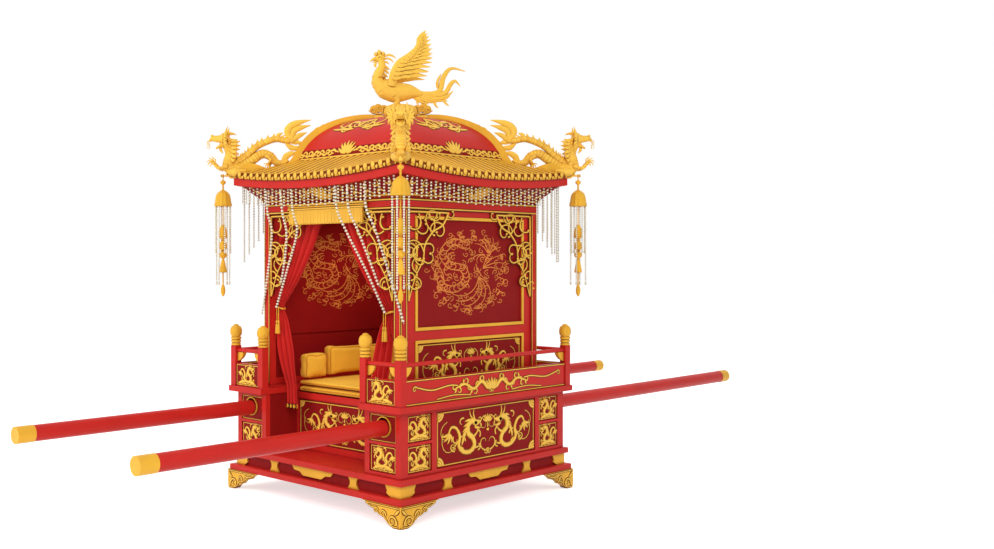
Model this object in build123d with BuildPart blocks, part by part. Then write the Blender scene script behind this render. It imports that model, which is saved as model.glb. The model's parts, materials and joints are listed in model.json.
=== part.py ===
"""Bridal sedan chair built as separate named pieces, millimetres, +Z up, front towards -Y."""
import os
from math import sqrt

from build123d import *

os.makedirs("parts", exist_ok=True)

SEAT_GAP = 0.3  # clearance left under a piece that rests on another one

# Carrying poles and the holes they pass through
POLE_LENGTH = 4795
POLE_FRONT = 2045  # reach in front of the cabin's middle
POLE_R = 40
POLE_SET = 134  # pole's axis from the inner face of its box
CAP_LENGTH = 90
CAP_R = 41.5
BORE_R = 46
BORE_DROP = 78  # hole's axis below the top of the pole box
RING_R = 52
RING_T = 7

# Base, stepped in and out from the plinth
PLINTH_HALF = 690
PLINTH_T = 30
FOOT_H = 107
FOOT_PROUD = 8
FOOT_LENGTH = 273
FOOT_T = 46
WAIST_SET = 38
WAIST_T = 46
WAIST_H = 62
TRIM_T = 10
TRIM_HALF = 168
SPACER_HALF = 38
SPACER_AT = 320
CORNER_TRIM = 100
FLOOR_SET = 12
FLOOR_T = 30
EDGE_R = 5

# Pole boxes beside the foot space, and the seat between them
BOX_SET = 21
BOX_W = 256
BOX_H = 324
PANEL_T = 30
INNER_T = 24
POCKET = 7
STILE = 35
PANEL_RAIL = 18
PANEL_GAP = 14
END_W = 170
END_SET = 137
LEDGE_OVER = 38
LEDGE_LIP = 6
LEDGE_T = 32
SEAT_Y = 435  # seat front, ahead of the middle
SEAT_FRONT_T = 24
SEAT_FOOT = 38
DECK_T = 33
DECK_LIP = 6
DECK_DROP = 1

# Railing on the ledge
RAIL_SET = 30
RAIL_POST = 42
RAIL_POST_H = 227
RAIL_BOARD_T = 26
RAIL_BOARD_H = 128
HAND_R = 11
HAND_UP = 201
FINIAL_R = 34
FINIAL_H = 122
BRACKET_T = 10
BRACKET_SIZE = 50
BRACKET_TIP = 8

# Cabin
CABIN_SET = 107
CABIN_POST = 46
CABIN_H = 972
HEAD_H = 55
WALL_SET = 10
WALL_T = 28
WALL_REST = 32
DADO_SET = 37
DADO_H = 250
MID_RAIL = 82
HEAD_SET = 49
PANEL_SIDE = 82
FRAME_W = 16
FRAME_T = 6
SPANDREL_T = 10
SPANDREL_W = 15
SPANDREL_RUN = 232
SPANDREL_DROP = 420
CEILING_T = 15
PELMET_HALF = 308
PELMET_UP = 13
PELMET_H = 36
PELMET_T = 24
FRINGE_H = 78
FRINGE_T = 8
FRINGE_SET = 12

# Soft furnishing
SEAT_CUSHION_T = 37
TOP_CUSHION_T = 30
CUSHION_SET = 9
BACK_T = 160
BACK_H = 195
ARM_W = 74
ARM_FRONT = 263
ARM_H = 195
BLOCK_H = 154
CUSHION_R = 13
SEAT_CUSHION_R = 11
CURTAIN_SET = 50
CURTAIN_T = 30
CURTAIN_EDGE = 4
CURTAIN_W = 357
TIE_UP = 446
TIE_SET = 79  # inner edge of the gathered cloth from the post
TIE_W = 45
HEM_DROP = 115
HEM_SET = 204
HEM_W = 88

# Roof
COVE_T = 20
COVE_H = 57
EAVE_OVER = 125
EAVE_RISE = 42
FASCIA_H = 42
FASCIA_T = 34
TILE_T = 22
TILE_OVER = 10
TILE_RIBS = 25
RIB_W = 30
RIB_H = 15
TILE_END_R = 17
TILE_END_T = 8
DOME_SET = 126
DOME_UP = 168
DOME_BASE = 10
DOME_H = 246
DOME_FLAT = 112
DOME_T = 22
RIDGE_W = 44
RIDGE_H = 46
RIDGE_UP = 50
CROWN_R = 92
CROWN_H = 84
CLOUD_R = 24
CLOUD_T = 28

# Dragons, phoenix, pendants and bead fringe
DRAGON_L = 450
DRAGON_R = 24
TAIL_R = 19
FLAME_T = 14
PHOENIX_H = 408
PHOENIX_TURN = 225
PIN_R = 5
PIN_L = 44
EYE_R = 6
EYE_OUT = 11
EYE_T = 8
PENDANT_OUT = 61  # past the corner of the eave, along the diagonal
PENDANT_UP = 12
PENDANT_L = 688
BELL_R = 49
STRAND_R = 4
BEAD_R = 4.5
BEAD_PITCH = 34
BEAD_L = 105
BEAD_SET = 20

# Places and heights that follow from the sizes above
HIP = sqrt(2)
CABIN_Y = POLE_FRONT - POLE_LENGTH / 2
FOOT_HALF = PLINTH_HALF + FOOT_PROUD
WAIST_HALF = PLINTH_HALF - WAIST_SET
FLOOR_HALF = PLINTH_HALF - FLOOR_SET
BOX_HALF = FLOOR_HALF - BOX_SET
PEDESTAL_IN = BOX_HALF - BOX_W
POLE_X = PEDESTAL_IN + POLE_SET
LEDGE_HALF = BOX_HALF + LEDGE_OVER
LEDGE_IN = PEDESTAL_IN - LEDGE_LIP
RAIL_AT = LEDGE_HALF - RAIL_SET
RAIL_INNER = LEDGE_IN + RAIL_POST / 2
CABIN_HALF = BOX_HALF - CABIN_SET
POST_AT = CABIN_HALF - CABIN_POST / 2
POST_IN = CABIN_HALF - CABIN_POST
WALL_OUT = CABIN_HALF - WALL_SET
WALL_IN = WALL_OUT - WALL_T
LEDGE_REAR = WALL_IN - WALL_REST
CUSHION_HALF = PEDESTAL_IN - CUSHION_SET
BACK_Y = WALL_IN - BACK_T
CURTAIN_Y = CABIN_HALF - CURTAIN_SET
CURTAIN_IN = POST_IN - CURTAIN_W
TIE_IN = POST_IN - TIE_SET
HEM_IN = POST_IN - HEM_SET
EAVE_HALF = CABIN_HALF + EAVE_OVER
COVE_HALF = EAVE_HALF - FASCIA_T - SEAT_GAP
DOME_HALF = CABIN_HALF - DOME_SET
BEAD_AT = EAVE_HALF - FASCIA_T / 2
EAVE_CORNER = HIP * EAVE_HALF
DOME_CORNER = HIP * DOME_HALF
PENDANT_AT = EAVE_CORNER + PENDANT_OUT
PLINTH_TOP = FOOT_H + PLINTH_T
WAIST_TOP = PLINTH_TOP + WAIST_H
FLOOR_TOP = WAIST_TOP + FLOOR_T
BOX_TOP = FLOOR_TOP + BOX_H
BORE_Z = BOX_TOP - BORE_DROP
POLE_Z = BORE_Z - (BORE_R - POLE_R - SEAT_GAP)
LEDGE_TOP = BOX_TOP + LEDGE_T
DECK_TOP = BOX_TOP - DECK_DROP
CUSHION_TOP = DECK_TOP + SEAT_GAP + SEAT_CUSHION_T + SEAT_GAP + TOP_CUSHION_T
POST_TOP = LEDGE_TOP + RAIL_POST_H
HAND_Z = LEDGE_TOP + HAND_UP
HEAD_Z = LEDGE_TOP + CABIN_H
HEAD_TOP = HEAD_Z + HEAD_H
PELMET_Z = HEAD_Z + PELMET_UP
CEILING_TOP = HEAD_TOP + CEILING_T
FASCIA_Z = CEILING_TOP + COVE_H
EAVE_Z = FASCIA_Z + FASCIA_H + EAVE_RISE
TILE_Z = FASCIA_Z + FASCIA_H + SEAT_GAP + TILE_T
DOME_FOOT = FASCIA_Z + DOME_UP
DOME_TOP = DOME_FOOT + DOME_H
CROWN_TOP = DOME_TOP + CROWN_H
PENDANT_Z = EAVE_Z + PENDANT_UP

# Datum planes through the cabin's middle
PLAN = Plane((0, CABIN_Y, 0))
FRONT = Plane((0, CABIN_Y, 0), x_dir=(1, 0, 0), z_dir=(0, -1, 0))
SIDE = Plane((0, CABIN_Y, 0), x_dir=(0, 1, 0), z_dir=(1, 0, 0))
STANDING = (Align.CENTER, Align.CENTER, Align.MIN)


def write(piece, name):
    """Label a finished piece and write its file."""
    piece.part.label = name
    export_step(piece.part, f"parts/{name}.step")


def write_pair(piece, name):
    """Write a right-hand piece and its mirror image."""
    write(piece, f"{name}_right")
    with BuildPart() as mirrored:
        mirror(piece.part, about=SIDE)
    write(mirrored, f"{name}_left")


def write_four(piece, name, start):
    """Write one piece turned to the four sides or corners, all in one file."""
    with BuildPart(PLAN) as ring:
        with PolarLocations(0, 4, start_angle=start):
            add(piece.part)
    write(ring, name)


def arc_lift(x):
    """Height of the curved eave above its lowest point, x from the middle of the side."""
    radius = (EAVE_HALF**2 + EAVE_RISE**2) / (2 * EAVE_RISE)
    return radius - sqrt(radius**2 - x**2)


def mitre_prism(clear):
    """Prism that keeps the front quarter of the roof, clear of both diagonals."""
    reach = 2 * EAVE_HALF
    apex = clear * HIP
    with BuildPart() as prism:
        with BuildSketch(Plane.XY.offset(HEAD_Z)):
            Polygon((0, -apex), (-reach, -apex - reach), (reach, -apex - reach), align=None)
        extrude(amount=2 * (DOME_TOP - HEAD_Z))
    return prism


# Feet: two mitred bracket boards, cut to a cloud outline of three lobes
FOOT_LOBES = (
    # share of the length in from the corner and share of the height, at the end of each lobe, then its swell
    ((0.66, 0.62), 9),
    ((0.40, 0.30), 9),
    ((0.20, 0.00), 7),
)
with BuildPart() as foot:
    with BuildSketch(Plane.XZ.offset(-FOOT_HALF)):
        with BuildLine():
            corner = (FOOT_HALF, FOOT_H)
            last = (FOOT_HALF - FOOT_LENGTH, FOOT_H)
            Line(corner, last)
            for (run, rise), swell in FOOT_LOBES:
                lobe_end = (FOOT_HALF - FOOT_LENGTH * run, FOOT_H * rise)
                SagittaArc(last, lobe_end, swell)
                last = lobe_end
            heel = (FOOT_HALF - FOOT_PROUD, 0)
            Line(last, heel)
            SagittaArc(heel, (FOOT_HALF, FOOT_H / 4), -FOOT_PROUD / 4)
            Line((FOOT_HALF, FOOT_H / 4), corner)
        make_face()
    extrude(amount=FOOT_T)
    mirror(about=Plane((0, 0, 0), z_dir=(1, -1, 0)))
write_four(foot, "feet", 0)

# Plinth, waist and floor boards
with BuildPart(PLAN.offset(FOOT_H)) as plinth:
    Box(2 * PLINTH_HALF, 2 * PLINTH_HALF, PLINTH_T, align=STANDING)
    fillet(plinth.edges().group_by(Axis.Z)[-1], EDGE_R)
write(plinth, "plinth")

with BuildPart(PLAN.offset(PLINTH_TOP)) as waist:
    Box(2 * WAIST_HALF, 2 * WAIST_HALF, WAIST_H, align=STANDING)
    inside = 2 * (WAIST_HALF - WAIST_T)
    Box(inside, inside, WAIST_H, align=STANDING, mode=Mode.SUBTRACT)
write(waist, "waist")

with BuildPart(PLAN.offset(WAIST_TOP)) as floor:
    Box(2 * FLOOR_HALF, 2 * FLOOR_HALF, FLOOR_T, align=STANDING)
    fillet(floor.edges().group_by(Axis.Z)[-1], EDGE_R)
write(floor, "floor")

# Gilt plates on the waist: a cloud in the middle, hourglass spacers and a collar at each corner
CLOUD_EDGE = (
    # share of the half width, share of the height
    (1.0, 1.0),
    (0.88, 0.58),
    (0.62, 0.52),
    (0.44, 0.20),
)
HOURGLASS = (
    # share of the half width, share of the height
    (1.0, 1.0),
    (0.62, 0.64),
    (0.62, 0.36),
    (1.0, 0.0),
)
WAIST_PLATES = (
    # right-hand edge, half width, place along the side
    (CLOUD_EDGE, TRIM_HALF, 0),
    (HOURGLASS, SPACER_HALF, SPACER_AT),
    (HOURGLASS, SPACER_HALF, -SPACER_AT),
)
with BuildPart() as waist_plates:
    for edge, half, along in WAIST_PLATES:
        right = [(along + half * share, PLINTH_TOP + WAIST_H * rise) for share, rise in edge]
        left = [(along - half * share, PLINTH_TOP + WAIST_H * rise) for share, rise in reversed(edge)]
        with BuildSketch(Plane.XZ.offset(WAIST_HALF)):
            with BuildLine():
                Polyline(*right, *left, close=True)
            make_face()
        extrude(amount=TRIM_T)
with BuildPart() as corner_collar:
    with BuildSketch(Plane.XZ.offset(WAIST_HALF)):
        with BuildLine():
            out = WAIST_HALF + TRIM_T
            collar_in = WAIST_HALF - CORNER_TRIM
            Polyline(
                (out, PLINTH_TOP),
                (out, WAIST_TOP),
                (collar_in, WAIST_TOP),
                (collar_in + CORNER_TRIM * 0.15, PLINTH_TOP + WAIST_H * 0.5),
                (collar_in + CORNER_TRIM * 0.1, PLINTH_TOP + WAIST_H * 0.3),
                (collar_in + CORNER_TRIM * 0.4, PLINTH_TOP),
                close=True,
            )
        make_face()
    extrude(amount=TRIM_T)
    mirror(about=Plane((0, 0, 0), z_dir=(1, 1, 0)))
with BuildPart() as waist_side:
    add(waist_plates.part)
    add(corner_collar.part)
write_four(waist_side, "waist_trim", 0)

# Pole boxes: outer side, front face and inner wall, right-hand then mirrored
row_h = (BOX_H - 2 * PANEL_RAIL - PANEL_GAP) / 2
POCKET_ROWS = (
    # bottom, top
    (FLOOR_TOP + PANEL_RAIL, FLOOR_TOP + PANEL_RAIL + row_h),
    (BOX_TOP - PANEL_RAIL - row_h, BOX_TOP - PANEL_RAIL),
)
end_at = BOX_HALF - END_SET
centre_w = 2 * (end_at - END_W / 2 - STILE)
SIDE_POCKETS = (
    # middle along the side, width, bottom, top
    (-end_at, END_W, *POCKET_ROWS[0]),
    (-end_at, END_W, *POCKET_ROWS[1]),
    (0, centre_w, FLOOR_TOP + PANEL_RAIL, BOX_TOP - PANEL_RAIL),
    (end_at, END_W, *POCKET_ROWS[0]),
    (end_at, END_W, *POCKET_ROWS[1]),
)

with BuildPart() as side_panel:
    with BuildSketch(SIDE.offset(BOX_HALF)):
        with Locations((0, FLOOR_TOP + BOX_H / 2)):
            Rectangle(2 * (BOX_HALF - PANEL_T), BOX_H)
    extrude(amount=-PANEL_T)
    with BuildSketch(SIDE.offset(BOX_HALF)):
        for middle, width, low, high in SIDE_POCKETS:
            with Locations((middle, (low + high) / 2)):
                Rectangle(width, high - low)
    extrude(amount=-POCKET, mode=Mode.SUBTRACT)
write_pair(side_panel, "side_panel")

with BuildPart() as front_face:
    face_w = BOX_HALF - PEDESTAL_IN
    face_x = PEDESTAL_IN + face_w / 2
    with BuildSketch(FRONT.offset(BOX_HALF)):
        with Locations((face_x, FLOOR_TOP + BOX_H / 2)):
            Rectangle(face_w, BOX_H)
    extrude(amount=-PANEL_T)
    with BuildSketch(FRONT.offset(BOX_HALF)):
        for low, high in POCKET_ROWS:
            with Locations((face_x, (low + high) / 2)):
                Rectangle(face_w - 2 * STILE, high - low)
        with Locations((POLE_X, BORE_Z)):
            Circle(RING_R + SEAT_GAP)
    extrude(amount=-POCKET, mode=Mode.SUBTRACT)
    with BuildSketch(FRONT.offset(BOX_HALF)):
        with Locations((POLE_X, BORE_Z)):
            Circle(BORE_R)
    extrude(amount=-PANEL_T, mode=Mode.SUBTRACT)
write_pair(front_face, "front_face")

with BuildPart() as inner_wall:
    with BuildSketch(SIDE.offset(PEDESTAL_IN)):
        with Locations((0, FLOOR_TOP + BOX_H / 2)):
            Rectangle(2 * (BOX_HALF - PANEL_T), BOX_H)
    extrude(amount=INNER_T)
write_pair(inner_wall, "inner_wall")

with BuildPart() as rear_panel:
    with BuildSketch(FRONT.offset(-BOX_HALF)):
        with Locations((0, FLOOR_TOP + BOX_H / 2)):
            Rectangle(2 * BOX_HALF, BOX_H)
    extrude(amount=PANEL_T)
    with BuildSketch(FRONT.offset(-BOX_HALF)):
        for middle, width, low, high in SIDE_POCKETS:
            with Locations((middle, (low + high) / 2)):
                Rectangle(width, high - low)
        with Locations((-POLE_X, BORE_Z), (POLE_X, BORE_Z)):
            Circle(RING_R + SEAT_GAP)
    extrude(amount=POCKET, mode=Mode.SUBTRACT)
    with BuildSketch(FRONT.offset(-BOX_HALF)):
        with Locations((-POLE_X, BORE_Z), (POLE_X, BORE_Z)):
            Circle(BORE_R)
    extrude(amount=PANEL_T, mode=Mode.SUBTRACT)
write(rear_panel, "rear_panel")

with BuildPart() as pole_rings:
    for side in (1, -1):
        with BuildSketch(FRONT.offset(side * (BOX_HALF - POCKET))):
            with Locations((-POLE_X, BORE_Z), (POLE_X, BORE_Z)):
                Circle(RING_R)
                Circle(BORE_R, mode=Mode.SUBTRACT)
        extrude(amount=side * RING_T)
write(pole_rings, "pole_rings")

# Seat front, seat deck and the ledge boards
with BuildPart() as seat_front:
    seat_h = BOX_H - DECK_DROP - DECK_T
    with BuildSketch(FRONT.offset(SEAT_Y)):
        with Locations((0, FLOOR_TOP + seat_h / 2)):
            Rectangle(2 * PEDESTAL_IN, seat_h)
    extrude(amount=-SEAT_FRONT_T)
    with BuildSketch(FRONT.offset(SEAT_Y)):
        pocket_h = seat_h - SEAT_FOOT - DECK_LIP
        with Locations((0, FLOOR_TOP + SEAT_FOOT + pocket_h / 2)):
            Rectangle(2 * (PEDESTAL_IN - PANEL_RAIL), pocket_h)
    extrude(amount=-POCKET, mode=Mode.SUBTRACT)
write(seat_front, "seat_front")

with BuildPart(PLAN.offset(DECK_TOP - DECK_T)) as seat_deck:
    deck_front = SEAT_Y + DECK_LIP
    deck_depth = deck_front + LEDGE_REAR - SEAT_GAP
    with Locations((0, -deck_front + deck_depth / 2)):
        Box(2 * PEDESTAL_IN, deck_depth, DECK_T, align=STANDING)
write(seat_deck, "seat_deck")

with BuildPart(PLAN.offset(BOX_TOP)) as ledge:
    ledge_w = LEDGE_HALF - LEDGE_IN
    with Locations((LEDGE_IN + ledge_w / 2, 0)):
        Box(ledge_w, 2 * LEDGE_HALF, LEDGE_T, align=STANDING)
    fillet(ledge.faces().sort_by(Axis.X)[-1].edges().filter_by(Axis.Y), EDGE_R)
write_pair(ledge, "ledge")

with BuildPart(PLAN.offset(BOX_TOP)) as ledge_rear:
    rear_w = LEDGE_HALF - LEDGE_REAR
    with Locations((0, LEDGE_REAR + rear_w / 2)):
        Box(2 * LEDGE_IN, rear_w, LEDGE_T, align=STANDING)
write(ledge_rear, "ledge_rear")

# Railing: posts, finials, boards, hand rails and brackets
RAIL_POSTS = (
    # x, y from the cabin's middle
    (RAIL_AT, RAIL_AT),
    (-RAIL_AT, RAIL_AT),
    (RAIL_AT, -RAIL_AT),
    (-RAIL_AT, -RAIL_AT),
    (RAIL_INNER, -RAIL_AT),
    (-RAIL_INNER, -RAIL_AT),
)
with BuildPart(PLAN.offset(LEDGE_TOP)) as rail_posts:
    with Locations(*RAIL_POSTS):
        Box(RAIL_POST, RAIL_POST, RAIL_POST_H, align=STANDING)
write(rail_posts, "rail_posts")

FINIAL = (
    # share of the largest radius, share of the height
    (0.62, 0.00),
    (0.62, 0.07),
    (0.41, 0.11),
    (0.76, 0.21),
    (0.76, 0.30),
    (0.38, 0.36),
    (0.88, 0.52),
    (1.00, 0.66),
    (0.74, 0.82),
    (0.24, 0.92),
    (0.00, 1.00),
)
with BuildPart() as finial:
    with BuildSketch(Plane.XZ):
        with BuildLine():
            turned_edge = [(FINIAL_R * share, FINIAL_H * rise) for share, rise in FINIAL]
            Polyline((0, 0), *turned_edge, close=True)
        make_face()
    revolve(axis=Axis.Z)
with BuildPart(PLAN.offset(POST_TOP)) as rail_finials:
    with Locations(*RAIL_POSTS):
        add(finial.part)
write(rail_finials, "rail_finials")

rail_span = 2 * RAIL_AT - RAIL_POST
with BuildPart(PLAN.offset(LEDGE_TOP)) as rail_board:
    with Locations((RAIL_AT, 0)):
        Box(RAIL_BOARD_T, rail_span, RAIL_BOARD_H, align=STANDING)
write_pair(rail_board, "rail_board")

with BuildPart(PLAN.offset(LEDGE_TOP)) as rail_board_rear:
    with Locations((0, RAIL_AT)):
        Box(rail_span, RAIL_BOARD_T, RAIL_BOARD_H, align=STANDING)
write(rail_board_rear, "rail_board_rear")

front_span = RAIL_AT - RAIL_INNER - RAIL_POST
front_x = (RAIL_AT + RAIL_INNER) / 2
with BuildPart(PLAN.offset(LEDGE_TOP)) as rail_front:
    with Locations((front_x, -RAIL_AT), (-front_x, -RAIL_AT)):
        Box(front_span, RAIL_BOARD_T, RAIL_BOARD_H, align=STANDING)
write(rail_front, "rail_front_panels")

with BuildPart(PLAN.offset(HAND_Z)) as hand_rails:
    with Locations((RAIL_AT, 0), (-RAIL_AT, 0)):
        Cylinder(HAND_R, rail_span, rotation=(90, 0, 0))
    with Locations((0, RAIL_AT)):
        Cylinder(HAND_R, rail_span, rotation=(0, 90, 0))
    with Locations((front_x, -RAIL_AT), (-front_x, -RAIL_AT)):
        Cylinder(HAND_R, front_span, rotation=(0, 90, 0))
write(hand_rails, "hand_rails")

BRACKETS = (
    # x, y of the post face it stands against, turn about Z
    (RAIL_INNER + RAIL_POST / 2, -RAIL_AT, 0),
    (RAIL_AT - RAIL_POST / 2, -RAIL_AT, 180),
    (-RAIL_INNER - RAIL_POST / 2, -RAIL_AT, 180),
    (-RAIL_AT + RAIL_POST / 2, -RAIL_AT, 0),
    (RAIL_AT, -RAIL_AT + RAIL_POST / 2, 90),
    (RAIL_AT, RAIL_AT - RAIL_POST / 2, 270),
    (-RAIL_AT, -RAIL_AT + RAIL_POST / 2, 90),
    (-RAIL_AT, RAIL_AT - RAIL_POST / 2, 270),
    (-RAIL_AT + RAIL_POST / 2, RAIL_AT, 0),
    (RAIL_AT - RAIL_POST / 2, RAIL_AT, 180),
)
bracket_top = HAND_Z - HAND_R - SEAT_GAP
with BuildPart() as bracket:
    with BuildSketch(Plane.XZ.offset(-BRACKET_T / 2)):
        with BuildLine():
            tip = (BRACKET_SIZE, bracket_top - BRACKET_TIP)
            toe = (BRACKET_TIP, bracket_top - BRACKET_SIZE)
            Polyline((0, bracket_top - BRACKET_SIZE), (0, bracket_top), (BRACKET_SIZE, bracket_top), tip)
            SagittaArc(tip, toe, BRACKET_TIP)
            Line(toe, (0, bracket_top - BRACKET_SIZE))
        make_face()
    extrude(amount=BRACKET_T)
with BuildPart(PLAN) as rail_brackets:
    for x, y, turn in BRACKETS:
        with Locations(Location((x, y, 0), (0, 0, turn))):
            add(bracket.part)
write(rail_brackets, "rail_brackets")

# Cabin: posts, head frame, walls with sunk panels, gilt frames and spandrels
with BuildPart(PLAN.offset(LEDGE_TOP)) as cabin_posts:
    with GridLocations(2 * POST_AT, 2 * POST_AT, 2, 2):
        Box(CABIN_POST, CABIN_POST, CABIN_H, align=STANDING)
write(cabin_posts, "cabin_posts")

with BuildPart(PLAN.offset(HEAD_Z)) as head_frame:
    Box(2 * CABIN_HALF, 2 * CABIN_HALF, HEAD_H, align=STANDING)
    Box(2 * POST_IN, 2 * POST_IN, HEAD_H, align=STANDING, mode=Mode.SUBTRACT)
write(head_frame, "head_frame")

dado_z = LEDGE_TOP + DADO_SET
panel_half = POST_IN - PANEL_SIDE
WALL_PANELS = (
    # bottom, top
    (dado_z, dado_z + DADO_H),
    (dado_z + DADO_H + MID_RAIL, HEAD_Z - HEAD_SET),
)
with BuildPart() as wall:
    with BuildSketch(Plane.XZ.offset(WALL_OUT)):
        with Locations((0, LEDGE_TOP + CABIN_H / 2)):
            Rectangle(2 * POST_IN, CABIN_H)
    extrude(amount=-WALL_T)
    for depth, inward in ((WALL_OUT, -POCKET), (WALL_IN, POCKET)):
        with BuildSketch(Plane.XZ.offset(depth)):
            for low, high in WALL_PANELS:
                with Locations((0, (low + high) / 2)):
                    Rectangle(2 * panel_half, high - low)
        extrude(amount=inward, mode=Mode.SUBTRACT)
with BuildPart() as wall_frame:
    with BuildSketch(Plane.XZ.offset(WALL_OUT)):
        for low, high in WALL_PANELS:
            with Locations((0, (low + high) / 2)):
                Rectangle(2 * (panel_half + FRAME_W), high - low + 2 * FRAME_W)
                Rectangle(2 * panel_half, high - low, mode=Mode.SUBTRACT)
    extrude(amount=FRAME_T)

WALLS = (
    # name, turn about Z from the front
    ("right", 90),
    ("rear", 180),
    ("left", 270),
)
for name, turn in WALLS:
    with BuildPart(PLAN) as turned:
        with Locations(Location((0, 0, 0), (0, 0, turn))):
            add(wall.part)
    write(turned, f"wall_{name}")

with BuildPart(PLAN) as wall_frames:
    for name, turn in WALLS:
        with Locations(Location((0, 0, 0), (0, 0, turn))):
            add(wall_frame.part)
write(wall_frames, "wall_frames")

# Spandrel scrolls: arcs in shares of the run from the post inwards and of the drop from the head
SPANDREL = (
    # run and drop at the start, at the middle, at the end
    ((0.036, 0.02), (0.52, 0.021), (1.00, 0.02)),
    ((0.036, 0.02), (0.037, 0.51), (0.036, 1.00)),
    ((1.00, 0.02), (0.88, 0.18), (0.65, 0.26)),
    ((0.65, 0.26), (0.45, 0.39), (0.39, 0.56)),
    ((0.39, 0.56), (0.19, 0.75), (0.036, 1.00)),
    ((0.65, 0.26), (0.32, 0.23), (0.03, 0.33)),
    ((0.39, 0.56), (0.24, 0.54), (0.03, 0.61)),
    ((0.65, 0.26), (0.52, 0.14), (0.60, 0.02)),
)
with BuildPart() as spandrels:
    with BuildSketch(Plane.XZ.offset(WALL_OUT + FRAME_T + SEAT_GAP)):
        for first, middle, last in SPANDREL:
            points = [
                (POST_IN - SPANDREL_RUN * run, HEAD_Z - SPANDREL_DROP * drop)
                for run, drop in (first, middle, last)
            ]
            with BuildLine() as stroke:
                ThreePointArc(*points)
            trace(stroke.line, SPANDREL_W)
        mirror(about=Plane.YZ)
    extrude(amount=SPANDREL_T)
write_four(spandrels, "spandrels", 0)

with BuildPart(PLAN.offset(HEAD_TOP)) as ceiling:
    Box(2 * CABIN_HALF, 2 * CABIN_HALF, CEILING_T, align=STANDING)
write(ceiling, "ceiling")

with BuildPart() as pelmet:
    with BuildSketch(FRONT.offset(CABIN_HALF)):
        with Locations((0, PELMET_Z + PELMET_H / 2)):
            Rectangle(2 * PELMET_HALF, PELMET_H)
    extrude(amount=PELMET_T)
    with BuildSketch(FRONT.offset(CABIN_HALF + PELMET_T - FRINGE_T)):
        with Locations((0, PELMET_Z - FRINGE_H / 2)):
            Rectangle(2 * (PELMET_HALF - FRINGE_SET), FRINGE_H)
    extrude(amount=FRINGE_T)
write(pelmet, "pelmet")

# Soft furnishing
with BuildPart() as curtain:
    with BuildSketch(FRONT.offset(CURTAIN_Y)):
        with BuildLine():
            top = HEAD_Z - SEAT_GAP
            tie_z = LEDGE_TOP + TIE_UP
            hem_z = LEDGE_TOP - HEM_DROP
            outer = POST_IN - CURTAIN_EDGE
            shoulder = (outer, tie_z + 2 * CURTAIN_SET)
            tie_out = (TIE_IN + TIE_W, tie_z)
            hem_out = (HEM_IN + HEM_W, hem_z)
            Polyline((CURTAIN_IN, top), (outer, top), shoulder)
            SagittaArc(shoulder, tie_out, CURTAIN_EDGE)
            fall_z = (tie_z + hem_z) / 2
            ThreePointArc(tie_out, ((tie_out[0] + hem_out[0]) / 2 - CURTAIN_T, fall_z), hem_out)
            Line(hem_out, (HEM_IN, hem_z))
            ThreePointArc((HEM_IN, hem_z), ((HEM_IN + TIE_IN) / 2 - CURTAIN_T, fall_z), (TIE_IN, tie_z))
            swag = ((TIE_IN + CURTAIN_IN) / 2 - CURTAIN_T / 2, (tie_z + top) / 2 - CURTAIN_T / 2)
            ThreePointArc((TIE_IN, tie_z), swag, (CURTAIN_IN, top))
        make_face()
    extrude(amount=CURTAIN_T)
write_pair(curtain, "curtain")

cushion_y = LEDGE_REAR - EDGE_R / 2
seat_depth = cushion_y + SEAT_Y + EDGE_R / 2
seat_mid = cushion_y - seat_depth / 2
CUSHION_LAYERS = (
    # bottom, thickness
    (DECK_TOP + SEAT_GAP, SEAT_CUSHION_T),
    (DECK_TOP + 2 * SEAT_GAP + SEAT_CUSHION_T, TOP_CUSHION_T),
)
with BuildPart() as seat_cushions:
    for low, thick in CUSHION_LAYERS:
        with Locations((0, CABIN_Y + seat_mid, low)):
            Box(2 * CUSHION_HALF, seat_depth, thick, align=STANDING)
    fillet(seat_cushions.edges(), SEAT_CUSHION_R)
write(seat_cushions, "seat_cushions")

back_depth = BACK_T - SEAT_GAP
with BuildPart(PLAN.offset(CUSHION_TOP + SEAT_GAP)) as back_cushion:
    with Locations((0, BACK_Y + back_depth / 2)):
        Box(2 * CUSHION_HALF, back_depth, BACK_H, align=STANDING)
    fillet(back_cushion.edges(), CUSHION_R)
write(back_cushion, "back_cushion")

ARM_ROWS = (
    # front, rear, height
    (-ARM_FRONT, BACK_Y - SEAT_GAP, ARM_H),
    (-SEAT_Y, -ARM_FRONT - SEAT_GAP, BLOCK_H),
)
with BuildPart(PLAN.offset(CUSHION_TOP + SEAT_GAP)) as arm_cushions:
    for front, rear, height in ARM_ROWS:
        arm_x = CUSHION_HALF - ARM_W / 2
        with Locations((arm_x, (front + rear) / 2), (-arm_x, (front + rear) / 2)):
            Box(ARM_W, rear - front, height, align=STANDING)
    fillet(arm_cushions.edges(), CUSHION_R)
write(arm_cushions, "arm_cushions")

# Roof: cove, curved fascia, tiled slopes, dome, hip ridges
mitre = mitre_prism(0.5)
with BuildPart() as cove:
    with BuildSketch(Plane.XZ.offset(CABIN_HALF)):
        with Locations((0, CEILING_TOP)):
            Rectangle(3 * EAVE_HALF, COVE_T, align=(Align.CENTER, Align.MIN))
    with BuildSketch(Plane.XZ.offset(COVE_HALF)):
        with BuildLine():
            low = FASCIA_Z
            reach = 1.5 * EAVE_HALF
            lift = arc_lift(reach)
            ThreePointArc((-reach, low + lift), (0, low), (reach, low + lift))
            Line((reach, low + lift), (reach, low + lift + COVE_T))
            ThreePointArc((reach, low + lift + COVE_T), (0, low + COVE_T), (-reach, low + lift + COVE_T))
            Line((-reach, low + lift + COVE_T), (-reach, low + lift))
        make_face()
    loft(ruled=True)
    add(mitre.part, mode=Mode.INTERSECT)
write_four(cove, "cove", 0)

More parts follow.
